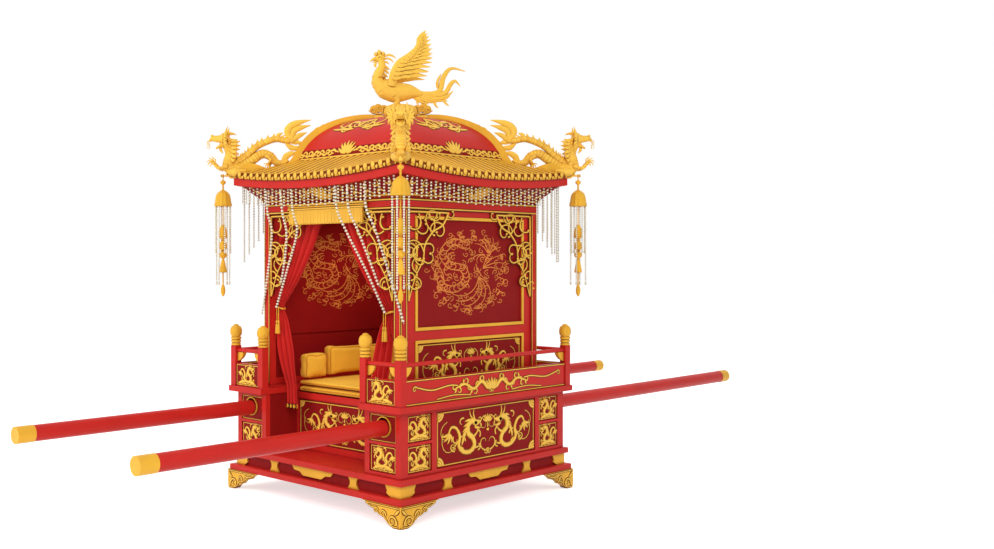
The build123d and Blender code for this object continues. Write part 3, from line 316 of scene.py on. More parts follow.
def face(turn, reach):
    """Place for an upright face: x across, y up, height outward, turned by quarter turns."""
    cosine = (1, 0, -1, 0)[turn]
    sine = (0, 1, 0, -1)[turn]

    def place(flat):
        out = -(reach + flat[..., 2])
        x = cosine * flat[..., 0] - sine * out
        y = MID_Y + sine * flat[..., 0] + cosine * out
        return np.stack([x, y, flat[..., 1]], axis=-1)

    return place


def lift(x):
    """Height of the curved eave above its lowest point: the rise of a circle's arc at x."""
    sizes = bpy.context.scene.sedan_sizes
    radius = (sizes.eave_half**2 + sizes.eave_rise**2) / (2 * sizes.eave_rise)
    return radius - np.sqrt(radius**2 - np.asarray(x) ** 2)


def frieze_face(turn):
    """Place on the cove's underside: y runs from the head frame to the eave, height down and out."""
    sizes = bpy.context.scene.sedan_sizes
    flat_face = face(turn, 0)

    def place(flat):
        share = flat[..., 1] / sizes.cove_rise
        out = sizes.cabin_half + share * (sizes.eave_half - sizes.fascia - sizes.cabin_half)
        up = sizes.cove_foot + share * (sizes.cove_rise + lift(flat[..., 0]))
        bent = np.stack([flat[..., 0], up - 0.85 * flat[..., 2], out + 0.53 * flat[..., 2]], axis=-1)
        return flat_face(bent)

    return place


def dome_face(turn):
    """Place on the dome's curved side: y is the length up the profile arc from the dome's foot.

    The arc is the circle through the foot, the crown and a brow at set shares of the half width and rise.
    """
    sizes = bpy.context.scene.sedan_sizes
    foot = np.array([sizes.dome_half, sizes.dome_foot])
    start_z = sizes.dome_foot - DOME_SUNK
    rise = sizes.dome_top - sizes.dome_foot + DOME_SUNK
    brow = np.array([sizes.dome_half * BROW_OUT, start_z + BROW_UP * rise])
    crown = np.array([sizes.dome_flat, sizes.dome_top])
    rows = np.stack([brow - foot, crown - foot])
    centre = foot + np.linalg.solve(2 * rows, np.sum(rows**2, axis=1))
    radius = np.linalg.norm(foot - centre)
    start = np.arctan2(*(foot - centre)[::-1])
    flat_face = face(turn, 0)

    def place(flat):
        angle = start + flat[..., 1] / radius
        reach = radius + flat[..., 2]
        bent = [flat[..., 0], centre[1] + reach * np.sin(angle), centre[0] + reach * np.cos(angle)]
        return flat_face(np.stack(bent, axis=-1))

    return place


# Motifs


def lotus(size):
    """Open lotus, size across: petals fanned from one point, the outer ones bent upward."""
    outer = [leaf(0, 0, 90 - lean, size * 0.5, lean * 0.5, size * 0.15) for lean in (-84, -56, 56, 84)]
    inner = [leaf(0, 0, 90 - lean, size * 0.46, lean * 0.3, size * 0.17) for lean in (-30, 30, 0)]
    return outer + inner + [dot(0, size * 0.05, size * 0.07)]


def cloud(size):
    """Cloud head, size across: two scrolls rolled outward from a middle drop."""
    half = [
        curl(0, 0, 20, size * 0.75, 390, size * 0.11),
        curl(size * 0.05, -size * 0.08, -10, size * 0.8, 300, size * 0.09),
    ]
    return both(half) + [leaf(0, -size * 0.1, 90, size * 0.3, 0, size * 0.16)]


def waves(width, height, count):
    """Rolling waves: rows of scrolls that rise to the right and roll over, with bands below."""
    pitch = width / count
    rows = []
    for index in range(count):
        x = -width / 2 + index * pitch
        rows.append(curl(x, 0, 55, height * 1.9, -330, height * 0.26))
        rows.append(curl(x + pitch * 0.3, 0, 40, height, -260, height * 0.2))
    return rows + [line([(-width / 2, 0), (0, height * 0.06), (width / 2, 0)], height * 0.22)]


def claw(x, y, heading, size):
    """Leg with three claws: a bent stroke and three short hooked leaves from its end."""
    leg = curl(x, y, heading, size, 40, size * 0.34, tip=0.5, power=1, steps=6)
    end = leg[0][-1]
    hooks = [leaf(*end, heading + spread, size * 0.55, -60, size * 0.16, 5) for spread in (10, 50, 95)]
    return [leg] + hooks


def coiled_dragon():
    """Dragon one unit tall, facing +x: a looped body with head, mane, horns, legs, flames and tail."""
    body = through(
        [
            (0.30, 0.22), (0.18, 0.30), (0.04, 0.22), (0.04, 0.04), (0.19, -0.08), (0.24, -0.24),
            (0.10, -0.36), (-0.12, -0.34), (-0.27, -0.20), (-0.24, 0.00), (-0.34, 0.18),
            (-0.50, 0.22), (-0.60, 0.08),
        ],
        5,
    )
    share = np.linspace(0, 1, len(body))
    scales = 0.165 * (1 - 0.7 * share**1.6) * (1 + 0.1 * np.cos(share * 150))
    head = [
        leaf(0.18, 0.25, -8, 0.31, 26, 0.16),
        leaf(0.24, 0.18, -40, 0.22, 50, 0.08),
        curl(0.26, 0.32, 120, 0.26, -70, 0.05),
        curl(0.20, 0.33, 140, 0.24, -60, 0.045),
        curl(0.46, 0.26, 60, 0.2, 260, 0.034),
        curl(0.45, 0.22, -40, 0.19, -240, 0.03),
        dot(0.31, 0.29, 0.028),
    ]
    mane = [leaf(0.17 - 0.05 * i, 0.3 - 0.06 * i, 160 + 14 * i, 0.24, 40, 0.08) for i in range(6)]
    legs = claw(0.18, -0.05, 10, 0.2) + claw(0.2, -0.28, -20, 0.19)
    legs += claw(-0.24, -0.08, 200, 0.2) + claw(-0.1, -0.32, 120, 0.16)
    tail = [leaf(-0.58, 0.1, heading, 0.24, -50, 0.08) for heading in (215, 250, 285, 320)]
    flames = [
        curl(-0.05, -0.12, 100, 0.3, 200, 0.045), curl(-0.44, 0.02, 250, 0.3, 220, 0.045),
        curl(0.42, -0.08, 60, 0.3, 240, 0.045), curl(-0.1, 0.38, 170, 0.26, 200, 0.045),
        curl(-0.4, -0.3, 180, 0.3, -220, 0.045), curl(0.36, -0.36, 10, 0.24, 200, 0.04),
    ]
    return [(body, scales)] + head + mane + legs + tail + flames


def frame_lines(width, height, wide, plate):
    """Thin frame round a panel with quarter-round plates in its corners."""
    x = width / 2
    y = height / 2
    rails = bar([(-x, -y), (x, -y), (x, y), (-x, y), (-x, -y)], wide)
    turn = np.radians(np.linspace(180, 270, 7))
    corner = []
    for reach in (0.2, 0.5, 0.8):
        arc = np.stack([x + plate * reach * np.cos(turn), y + plate * reach * np.sin(turn)], axis=1)
        corner.append((arc, np.full(7, plate * 0.36)))
    right = corner + moved(corner, flip=True, turn=180)
    return rails + both(right)


PANEL_VINES = (
    # across in panel widths, up in heights, heading, length in heights, turn, thickness in heights
    (-0.44, 0.1, 250, 1.0, 330, 0.02),
    (-0.40, 0.3, 200, 0.7, 280, 0.018),
    (-0.02, -0.34, 170, 0.5, -260, 0.035),
    (-0.03, 0.32, 200, 0.5, 270, 0.022),
)


def dragon_panel(width, height):
    """Panel of two dragons facing a lotus: frame, corner plates, hill below and vines at the ends."""
    half = moved(coiled_dragon(), -width * 0.21, 0, height * 0.86)
    for x, y, heading, length, turn, thick in PANEL_VINES:
        half.append(curl(width * x, height * y, heading, height * length, turn, height * thick))
    middle = moved(lotus(height * 0.34), 0, height * 0.2) + moved(cloud(height * 0.26), 0, -height * 0.38)
    middle.append(dot(0, height * 0.05, height * 0.035))
    middle.append(leaf(0, height * 0.08, 90, height * 0.12, 0, height * 0.04))
    return both(half) + middle + frame_lines(width - 0.012, height - 0.012, 0.006, height * 0.17)


def plain_frame(width, height):
    """Thin frame a little inside a small panel, with corner plates too small to see."""
    return frame_lines(width, height, 0.004, 0.0001)


def wave_panel(width, height):
    """Small panel: a coiled dragon over rolling waves along the bottom, in a thin frame."""
    base = moved(waves(width * 0.8, height * 0.26, 4), 0, -height * 0.41)
    coil = moved(coiled_dragon(), width * 0.04, height * 0.06, height * 0.98)
    dragon = [(path, stroke * 1.35) for path, stroke in coil]
    hill = [
        leaf(side * width * 0.36, -height * 0.4, 90 + side * 60, height * 0.55, side * 40, height * 0.2)
        for side in (-1, 1)
    ]
    return base + hill + dragon + plain_frame(width - 0.008, height - 0.008)


RAIL_SCROLLS = (
    # x and y in board heights, heading, length in heights, turn
    (0.7, 0.14, 150, 0.5, -230),
    (0.85, 0.12, 30, 0.6, -240),
    (1.2, -0.1, 200, 0.55, 240),
    (1.4, -0.12, -30, 0.6, 240),
    (1.8, 0.1, 150, 0.5, -230),
    (2.0, 0.1, 30, 0.55, -240),
    (2.3, 0.02, 200, 0.5, 240),
    (2.5, -0.04, -30, 0.45, 240),
)


def rail_scrolls(width, height):
    """Rail board: lotus in the middle, a leafy winding stem to each side and long tendrils to the ends."""
    stem = height * through([(0.3, -0.16), (0.75, 0.16), (1.3, -0.14), (1.9, 0.12), (2.55, -0.04)])
    half = [(stem, height * np.linspace(0.26, 0.1, len(stem)))]
    for x, y, heading, length, turn in RAIL_SCROLLS:
        spot = (x * height, y * height)
        half.append(curl(*spot, heading, length * height, turn, height * 0.1))
        lean = heading - np.sign(turn) * 50
        half.append(leaf(*spot, lean, length * height * 0.55, 40, height * 0.13))
    end = (width * 0.455, height * 0.2)
    upper = [(height * 2.4, height * 0.1), (width * 0.27, height * 0.14), (width * 0.37, 0.02 * height), end]
    lower = [(height * 1.5, -height * 0.4), (width * 0.24, -height * 0.32), (width * 0.34, -height * 0.42)]
    half.append(line(upper, height * 0.075))
    half.append(curl(*end, 40, height * 0.7, -400, height * 0.075))
    half.append(line(lower, height * 0.06))
    petals = moved(lotus(height * 1.25), 0, -height * 0.24)
    return both(half) + petals + moved(cloud(height * 0.45), 0, -height * 0.34)


# Strokes of the roundels: x, y, heading, length, turn
ROUNDEL_DRAGON = (
    (-0.12, 0.62, 20, 0.3, 240), (-0.14, 0.7, 60, 0.3, -200), 
    (-0.2, 0.58, -40, 0.26, 160), (-0.24, 0.72, 110, 0.3, -90),
)
ROUNDEL_PHOENIX = (
    (0.05, 0.34, 40, 0.5, -150), (0.02, 0.38, 70, 0.35, 200), 
    (0.12, 0.2, -70, 0.5, 40), (0.3, 0.42, 190, 0.3, 120),
)
# Small cloud curls that fill the roundel, and the turn from each to the next in radians
FILL_CURLS = 110
GOLDEN_ANGLE = 2.39996


def roundel():
    """Line roundel of one unit radius: a dragon on the left and a phoenix on the right among clouds."""
    wide = 0.027
    spine = through(
        [
            (-0.15, 0.62), (-0.42, 0.70), (-0.66, 0.45), (-0.5, 0.18), (-0.2, 0.1),
            (-0.12, -0.16), (-0.36, -0.36), (-0.66, -0.3), (-0.74, -0.02), (-0.86, 0.2),
        ]
    )
    tangent = unit(np.gradient(spine, axis=0))
    side = np.stack([-tangent[:, 1], tangent[:, 0]], axis=1)
    drawing = [(spine + sign * side * 0.075, np.full(len(spine), wide)) for sign in (1, -1)]
    for point, out in zip(spine[2:-2:2], side[2:-2:2]):
        middle = point + (out[1] * 0.05, -out[0] * 0.05)
        drawing.append(line([point - out * 0.07, middle, point + out * 0.07], wide * 0.8, 3))
    drawing += [curl(*row, wide) for row in ROUNDEL_DRAGON]
    drawing += [curl(-0.3 - 0.1 * i, 0.62 - 0.16 * i, 150 + 30 * i, 0.28, 140, wide) for i in range(5)]
    drawing += [curl(0.42, 0.46, heading, 0.42, 70, wide) for heading in range(20, 121, 25)]
    drawing += [curl(0.3, 0.1, heading, 0.62, -60, wide) for heading in range(10, 77, 22)]
    for heading in range(-20, -93, -18):
        drawing.append(curl(0.18, -0.1, heading, 0.95, -130, wide, tip=0.7, power=1.1))
    drawing += [curl(*row, wide) for row in ROUNDEL_PHOENIX]
    for degrees in range(0, 360, 20):
        angle = radians(degrees)
        spot = (0.84 * np.cos(angle), 0.84 * np.sin(angle))
        drawing.append(curl(*spot, degrees + 60, 0.34, 330, wide, steps=9))
        drawing.append(curl(*spot, degrees + 110, 0.3, -240, wide, steps=9))
    for index in range(FILL_CURLS):
        angle = index * GOLDEN_ANGLE
        reach = 0.97 * np.sqrt((index + 0.5) / FILL_CURLS)
        spot = (reach * np.cos(angle), reach * np.sin(angle))
        turn = 340 if index % 2 else -340
        drawing.append(curl(*spot, index * 77, 0.3, turn, wide * 0.75, tip=0.6, steps=8))
    return drawing


VINE_SCROLLS = (
    # x, y, heading, length, turn
    (0.215, -0.07, 150, 0.16, 250), (0.215, -0.07, -60, 0.12, -260), (0.155, -0.105, 150, 0.2, -240),
    (0.155, -0.105, 60, 0.14, 230), (0.108, -0.165, 170, 0.17, 260), (0.108, -0.165, 20, 0.12, -250),
    (0.1, -0.2, 110, 0.2, 240), (0.095, -0.24, 190, 0.15, -250), (0.095, -0.24, -40, 0.13, 260),
    (0.06, -0.30, 150, 0.13, -240), (0.05, -0.32, -10, 0.11, -250), (0.03, -0.37, 130, 0.1, 240),
    (0.03, -0.37, -30, 0.09, 250), (0.07, -0.02, -60, 0.15, -220), (0.02, -0.09, -20, 0.14, 230),
    (0.02, -0.16, -10, 0.12, -250), (0.015, -0.23, 20, 0.1, 240), (0.012, -0.30, 10, 0.08, -240),
    (0.13, -0.015, -70, 0.13, 230), (0.18, -0.015, -100, 0.1, -240), (0.06, -0.1, -40, 0.13, 240),
    (0.06, -0.17, -80, 0.12, -230), (0.05, -0.24, -60, 0.1, 230), (0.24, -0.02, -50, 0.09, 250),
)


def vine_corner():
    """Corner spandrel in metres, x from the post inward and y down from the head: stem, loops and berries."""
    head = (0.25, -0.012)
    corner = (0.012, -0.012)
    foot = (0.012, -0.43)
    bends = [(0.215, -0.07), (0.155, -0.105), (0.108, -0.165), (0.095, -0.24), (0.05, -0.32)]
    stem = through([head] + bends + [foot])
    vines = [(stem, 0.013 - 0.006 * np.linspace(0, 1, len(stem)))]
    vines += [line([corner, (0.13, -0.011), head], 0.011), line([corner, (0.011, -0.2), foot], 0.011)]
    for x, y, heading, length, turn in VINE_SCROLLS:
        vines.append(curl(x, y, heading, length * 0.85, turn * 0.8, 0.0095, tip=0.5))
        vines.append(dot(*vines[-1][0][-1], 0.0065))
    return vines


# Sculpted roof figures, in the upright plane y = 0: x outward or forward, z up


def spines(points, count, length, steps=12):
    """Row of back spines: at even places along a path, small leaves that stand off its upper side."""
    path = through(points, steps)
    tangent = unit(np.gradient(path, axis=0))
    normal = np.stack([-tangent[:, 1], tangent[:, 0]], axis=1)
    normal *= np.where(normal[:, 1:] < 0, -1, 1)
    shapes = []
    for at in np.linspace(2, len(path) - 3, count).astype(int):
        root = path[at] + normal[at] * length * 0.4
        tip = root + normal[at] * length + tangent[at] * length * 0.7
        quill = [root, (root + tip) / 2, tip]
        shapes.append(limb(quill, (0.009, 0.008, 0.001), (0.02, 0.015, 0.002), steps=2, columns=6))
    return shapes


def paw(shoulder, elbow, wrist, wide, spread):
    """Leg from shoulder to wrist with four hooked claws fanned about the last heading."""
    shapes = [limb([shoulder, elbow, wrist], (wide, wide * 0.8, wide * 0.6), rings=5)]
    wrist = np.asarray(wrist, float)
    heading = unit(wrist - np.asarray(elbow, float))
    start = np.degrees(np.arctan2(heading[2], heading[0]))
    for turn in spread:
        angle = radians(start + turn)
        bend = radians(start + turn - 50)
        middle = wrist + wide * 0.8 * np.array([np.cos(angle), 0, np.sin(angle)])
        tip = middle + wide * 0.7 * np.array([np.cos(bend), 0, np.sin(bend)])
        shapes.append(limb([wrist, middle, tip], (wide * 0.34, wide * 0.3, 0.001), steps=3, columns=6))
    return merge(shapes)


DRAGON_BODY = (
    # out, up, thickness, from the nape to the tail's root
    (1.022, 1.976, 0.05), (0.99, 1.95, 0.056), (0.971, 1.908, 0.066), (0.977, 1.864, 0.076),
    (0.982, 1.832, 0.074), (0.952, 1.818, 0.064), (0.91, 1.835, 0.058), (0.853, 1.868, 0.055),
    (0.792, 1.905, 0.052), (0.742, 1.89, 0.048), (0.711, 1.857, 0.042),
    (0.673, 1.853, 0.034), (0.642, 1.872, 0.022),
)
DRAGON_TAIL = (
    # out, up, thickness
    (0.955, 1.838, 0.04), (0.925, 1.862, 0.043), (0.882, 1.893, 0.041), (0.815, 1.952, 0.039),
    (0.721, 1.989, 0.037), (0.655, 1.98, 0.033), (0.605, 1.978, 0.024),
)
MANE = (
    # root and tip of each lock, out and up
    (0.985, 1.985, 0.925, 1.985),
    (0.98, 1.972, 0.922, 1.96),
    (0.975, 1.955, 0.926, 1.937),
    (0.968, 1.935, 0.93, 1.91),
    (0.962, 1.91, 0.934, 1.885),
    (0.96, 1.885, 0.945, 1.862),
)
RUFF = (
    # how far each tuft of the ruff reaches to the side and up from the cheek
    (0.03, 0.075), (0.055, 0.055), (0.068, 0.025), (0.07, -0.005), (0.06, -0.035), (0.042, -0.06),
)
FLAMES = (
    # path of each flame from root to tip, then its widest
    ([(0.628, 1.985), (0.648, 2.03), (0.625, 2.068), (0.57, 2.088), (0.512, 2.1)], 0.034),
    ([(0.622, 1.99), (0.61, 2.035), (0.57, 2.056), (0.512, 2.07)], 0.03),
    ([(0.615, 1.98), (0.585, 2.008), (0.535, 2.029)], 0.026),
    ([(0.625, 1.97), (0.59, 1.972), (0.556, 1.962)], 0.022),
    ([(0.655, 1.968), (0.625, 1.942), (0.59, 1.938), (0.556, 1.93)], 0.026),
    ([(0.676, 1.858), (0.655, 1.89), (0.625, 1.908), (0.588, 1.914)], 0.03),
    ([(0.70, 1.985), (0.70, 2.012), (0.672, 2.026)], 0.02),
)
VOLUTES = (
    # out, up, heading, length, turn, width
    (0.962, 1.815, 330, 0.13, -420, 0.018),
    (0.93, 1.806, 200, 0.08, 300, 0.012),
    (0.49, 2.035, 120, 0.11, 400, 0.02),
    (0.455, 2.05, 100, 0.08, 380, 0.016),
)


def hip_dragon():
    """Dragon on a hip: ringed body and tail arches, head with jaws, horns and mane, paws, flames, volutes."""
    body = np.array(DRAGON_BODY)
    tail = np.array(DRAGON_TAIL)
    shapes = [
        limb(body[:, :2], 0.8 * body[:, 2], body[:, 2], rings=44, steps=14, columns=12),
        limb([(0.88, 1.806), (0.94, 1.8), (0.985, 1.806)], (0.06, 0.1, 0.06), (0.03, 0.06, 0.04), columns=12),
        limb(tail[:, :2], tail[:, 2], rings=36, steps=14, columns=10),
        limb([(0.985, 1.981), (1.012, 1.99), (1.045, 1.991), (1.073, 1.992), (1.09, 1.982)],
             (0.04, 0.076, 0.058, 0.05, 0.018), (0.034, 0.056, 0.04, 0.034, 0.014), columns=12),
        limb([(1.0, 1.96), (1.03, 1.95), (1.056, 1.937)], (0.05, 0.044, 0.018), (0.03, 0.022, 0.01)),
        limb([(1.012, 2.0), (1.016, 2.014), (1.018, 2.026)], (0.02, 0.024, 0.006)),
        limb([(1.03, 1.944), (1.028, 1.926), (1.014, 1.908)], (0.012, 0.014, 0.002), (0.012, 0.018, 0.003)),
    ]
    whisker = [(1.08, 0.014, 1.985), (1.1, 0.024, 1.972), (1.096, 0.03, 1.945), (1.106, 0.034, 1.935)]
    sides = [
        limb([(1.005, 0.016, 2.005), (0.975, 0.024, 2.022), (0.943, 0.032, 2.018)], (0.014, 0.012, 0.003)),
        limb([(1.074, 0.012, 2.0), (1.076, 0.016, 2.008), (1.07, 0.016, 2.01)], (0.014, 0.014, 0.006)),
        limb([(1.022, 0.022, 1.996), (1.026, 0.026, 1.998), (1.03, 0.024, 1.998)], (0.014, 0.016, 0.006)),
        limb(whisker, (0.006, 0.005, 0.002)),
        paw((0.985, 0.026, 1.836), (1.03, 0.04, 1.82), (1.07, 0.038, 1.856), 0.026, (-60, -20, 20, 60)),
        paw((0.77, 0.018, 1.895), (0.74, 0.036, 1.872), (0.752, 0.04, 1.846), 0.022, (-50, -10, 30, 70)),
    ]
    for out, up, tip_out, tip_up in MANE:
        middle = ((out + tip_out) / 2, 0.036, (up + tip_up) / 2 - 0.008)
        lock = [(out, 0.018, up), middle, (tip_out, 0.05, tip_up)]
        sides.append(limb(lock, (0.016, 0.018, 0.002), (0.022, 0.024, 0.003)))
    for reach, up in RUFF:
        middle = (0.995, 0.02 + reach * 0.5, 1.985 + up * 0.45)
        sides.append(limb([(1.0, 0.02, 1.98), middle, (0.985, reach, 1.985 + up)], (0.022, 0.02, 0.002)))
    for path, wide in FLAMES:
        shapes.append(limb(path, (0.012, 0.015, 0.012, 0.003), (wide * 0.7, wide * 1.25, wide, 0.003)))
    shapes += spines(tail[:, :2], 19, 0.024) + spines(body[5:10, :2], 8, 0.02)
    shapes += [scroll(*row) for row in VOLUTES]
    return merge(shapes + [mirrored(side) for side in sides])


def pin_and_hanger():
    """Hanger bar under the dragon's chest and the headed pin that carries the pendant's eye."""
    return merge([
        limb([(0.9936, 1.776), (0.9936, 1.81), (0.9936, 1.846)], (0.014, 0.014), (0.01, 0.01)),
        limb([(0.9826, 1.78), (1.0, 1.78), (1.0266, 1.78)], (0.0098, 0.0098), columns=16),
        limb([(1.0241, 1.78), (1.0266, 1.78), (1.0291, 1.78)], (0.016, 0.02, 0.016), columns=16),
    ])


def feather(root, tip, bend, thick, wide=0.007):
    """Feather from root to tip: a flat leaf whose middle is pushed aside by bend."""
    along = tip - root
    middle = (root + tip) / 2 + bend * np.array([along[2], 0, -along[0]])
    deep = (thick * 0.5, thick, thick * 0.7, 0.002)
    return limb([root, middle, tip], (wide, wide, 0.001), deep, steps=5)


def plume(points, thick, barbs):
    """Tail plume along a path, with barbs that leave it to both sides and curl back."""
    path = through(points, 8)
    tangent = unit(np.gradient(path, axis=0))
    deep = (thick * 0.7, thick, thick * 0.8, 0.004)
    shapes = [limb(points, (0.012, 0.014, 0.012, 0.003), deep, steps=8)]
    for at in np.linspace(len(path) * 0.3, len(path) - 3, barbs).astype(int):
        side = np.array([-tangent[at][1], tangent[at][0]])
        for sign in (1, -1):
            tip = path[at] + tangent[at] * thick * 1.4 + sign * side * thick * 1.1
            barb = [path[at], (path[at] + tip) / 2 + sign * side * 0.003, tip]
            shapes.append(limb(barb, (0.008, 0.008, 0.001), (0.012, 0.015, 0.002), steps=3, columns=6))
    return merge(shapes)


HEAD_PARTS = (
    # path, widths and thicknesses of beak, jaw, wattle, three combs and three crest plumes, forward and up
    ([(0.132, 0.27), (0.156, 0.266), (0.176, 0.25)], (0.024, 0.016, 0.002), (0.026, 0.018, 0.003)),
    ([(0.13, 0.258), (0.15, 0.252), (0.162, 0.246)], (0.016, 0.012, 0.002), (0.014, 0.01, 0.003)),
    ([(0.138, 0.25), (0.146, 0.232), (0.14, 0.218)], (0.008, 0.012, 0.004), (0.01, 0.018, 0.006)),
    ([(0.14, 0.284), (0.142, 0.294), (0.146, 0.304)], (0.012, 0.022, 0.01), (0.016, 0.026, 0.012)),
    ([(0.122, 0.288), (0.122, 0.304), (0.124, 0.318)], (0.014, 0.026, 0.012), (0.018, 0.032, 0.014)),
    ([(0.103, 0.286), (0.099, 0.298), (0.096, 0.308)], (0.012, 0.022, 0.01), (0.016, 0.026, 0.012)),
    ([(0.1, 0.278), (0.07, 0.29), (0.045, 0.284), (0.026, 0.27)],
     (0.008, 0.008, 0.002), (0.012, 0.014, 0.003)),
    ([(0.096, 0.265), (0.072, 0.27), (0.052, 0.26), (0.04, 0.246)],
     (0.008, 0.008, 0.002), (0.01, 0.012, 0.003)),
    ([(0.094, 0.25), (0.078, 0.248), (0.066, 0.236)], (0.008, 0.008, 0.002), (0.01, 0.012, 0.003)),
)
HACKLES = (
    # root and tip of each neck feather, forward and up
    (0.085, 0.225, 0.062, 0.205),
    (0.088, 0.205, 0.066, 0.182),
    (0.096, 0.185, 0.072, 0.162),
    (0.102, 0.165, 0.076, 0.142),
    (0.15, 0.165, 0.162, 0.142),
    (0.155, 0.145, 0.166, 0.12),
    (0.152, 0.125, 0.158, 0.1),
)
WING_BONE = ((0.05, 0.105), (0.036, 0.165), (0.006, 0.225), (-0.05, 0.268), (-0.088, 0.308), (-0.1, 0.33))
WING_TIPS = ((-0.142, 0.408), (-0.166, 0.365), (-0.181, 0.3), (-0.176, 0.235), (-0.145, 0.165), (-0.1, 0.12))
FEATHER_ROWS = (
    # share of the way to the wing's edge, rise off the wing, widest
    (1.0, 0.0, 0.036),
    (0.6, 0.006, 0.03),
    (0.3, 0.011, 0.028),
)
PLUMES = (
    # path from the rump to the tip, widest, barbs to each side
    ([(-0.07, 0.082), (-0.15, 0.066), (-0.22, 0.08), (-0.246, 0.163), (-0.29, 0.212), (-0.371, 0.196)],
     0.034, 0),
    ([(-0.09, 0.074), (-0.18, 0.058), (-0.253, 0.072), (-0.286, 0.122), (-0.312, 0.14), (-0.341, 0.112)],
     0.03, 0),
    ([(-0.08, 0.066), (-0.196, 0.04), (-0.26, 0.052), (-0.302, 0.084)], 0.026, 0),
    ([(-0.073, 0.062), (-0.171, 0.034), (-0.269, 0.026)], 0.026, 2),
    ([(-0.065, 0.058), (-0.139, 0.03), (-0.206, 0.014)], 0.024, 2),
    ([(-0.06, 0.06), (-0.11, 0.026), (-0.15, 0.01)], 0.022, 2),
    ([(-0.21, 0.1), (-0.212, 0.14), (-0.232, 0.182)], 0.018, 0),
)


def wing_point(flat):
    """A wing's point in the upright plane, leaned out to the side as it rises."""
    return np.array([flat[0], 0.022 + 0.215 * flat[1], flat[1]])


def phoenix_wing():
    """Raised wing: a tapering bone with rows of feathers from it towards a curve of tips."""
    bone = through(WING_BONE, 8)
    tips = through(WING_TIPS, 8)
    joints = [wing_point(point) for point in bone[::8]]
    wing = [limb(joints, (0.016, 0.018, 0.014, 0.008), (0.04, 0.056, 0.05, 0.04, 0.026, 0.008))]
    for root, tip in zip(bone[38:2:-3], tips[::3]):
        for share, rise, wide in FEATHER_ROWS:
            end = root + share * (tip - root)
            wing.append(feather(wing_point(root) + (0, rise, 0), wing_point(end) + (0, rise, 0), 0.08, wide))
    return merge(wing)


def phoenix_figure():
    """Phoenix facing +x from the pedestal's top: body, S neck, combed head, raised wings and plumes."""
    shapes = [
        limb([(-0.12, 0.066), (-0.05, 0.078), (0.03, 0.078), (0.095, 0.1), (0.142, 0.128)],
             (0.02, 0.066, 0.09, 0.086, 0.036), (0.03, 0.088, 0.124, 0.118, 0.058), steps=8, columns=16),
        limb([(0.098, 0.09), (0.13, 0.14), (0.124, 0.185), (0.107, 0.218), (0.11, 0.25), (0.118, 0.27)],
             (0.085, 0.07, 0.056, 0.046, 0.04, 0.032), steps=10, columns=14),
        limb([(0.085, 0.166), (0.12, 0.158), (0.162, 0.166)], (0.04, 0.074, 0.04), (0.008, 0.01, 0.008)),
        limb([(0.09, 0.268), (0.113, 0.271), (0.138, 0.266)],
             (0.02, 0.048, 0.026), (0.022, 0.052, 0.034), columns=12),
    ]
    shapes += [limb(*row) for row in HEAD_PARTS]
    for x, z, tip_x, tip_z in HACKLES:
        hackle = [(x, z), ((x + tip_x) / 2, (z + tip_z) / 2 - 0.002), (tip_x, tip_z)]
        shapes.append(limb(hackle, (0.012, 0.014, 0.002), (0.014, 0.016, 0.003), steps=3))
    legs_and_eyes = [
        limb([(0.03, 0.02, 0.05), (0.018, 0.02, 0.026), (0.022, 0.02, 0.003)], (0.05, 0.034, 0.024)),
        limb([(0.016, 0.018, 0.006), (0.036, 0.02, 0.006), (0.052, 0.024, 0.003)], (0.01, 0.008, 0.003)),
        limb([(0.02, 0.018, 0.006), (0.004, 0.02, 0.005), (-0.008, 0.022, 0.003)], (0.01, 0.008, 0.003)),
        limb([(0.122, 0.021, 0.274), (0.124, 0.024, 0.276), (0.127, 0.022, 0.276)], (0.01, 0.012, 0.006)),
    ]
    shapes += [plume(*row) for row in PLUMES]
    return merge(shapes + [mirrored(phoenix_wing()), mirrored(merge(legs_and_eyes))])


CLOUD_SCROLLS = (
    # out, up, heading, length, turn
    (0.1, 2.145, 60, 0.085, 400),
    (0.125, 2.145, 40, 0.09, 420),
    (0.175, 2.15, 120, 0.085, 420),
    (0.09, 2.138, -10, 0.1, 50),
)


def crown_petals():
    """Petals round the pedestal's drum and scrolls on its cloud wings, about the upright axis at x = 0."""
    bulge = [(0.087, 2.114), (0.093, 2.134), (0.09, 2.154), (0.08, 2.17), (0.064, 2.18)]
    petal = limb(bulge, (0.026, 0.034, 0.032, 0.02), (0.008, 0.014, 0.014, 0.008))
    foot = [(0.094, 2.1), (0.096, 2.108), (0.092, 2.117)]
    base = limb(foot, (0.03, 0.034, 0.02), (0.006, 0.008, 0.004), steps=3)
    shapes = [turned(petal, 20 * step) for step in range(18)]
    shapes += [turned(base, 22.5 * step) for step in range(16)]
    for x, z, heading, length, turn in CLOUD_SCROLLS:
        stroke = mirrored(scroll(x, z, heading, length, turn, 0.008, 0.0145))
        shapes += [stroke, turned(stroke, 180)]
    return merge(shapes)


# Materials


COLOUR = "NodeSocketColor"
NUMBER = "NodeSocketFloat"
VECTOR = "NodeSocketVector"


def new_group(name, inputs, output=("Colour", COLOUR)):
    """Shader node group with inputs given by label and kind and one output; also returns those sockets."""
    group = bpy.data.node_groups.new(name, "ShaderNodeTree")
    for label, kind in inputs.items():
        group.interface.new_socket(label, in_out="INPUT", socket_type=kind)
    group.interface.new_socket(output[0], in_out="OUTPUT", socket_type=output[1])
    return group, group.nodes.new("NodeGroupInput").outputs, group.nodes.new("NodeGroupOutput").inputs[0]


def add_node(tree, kind, values=None, **settings):
    """New shader node in a tree, with its settings and then the values of its inputs."""
    node = tree.nodes.new(kind)
    for name, setting in settings.items():
        setattr(node, name, setting)
    for socket, value in (values or {}).items():
        node.inputs[socket].default_value = value
    return node


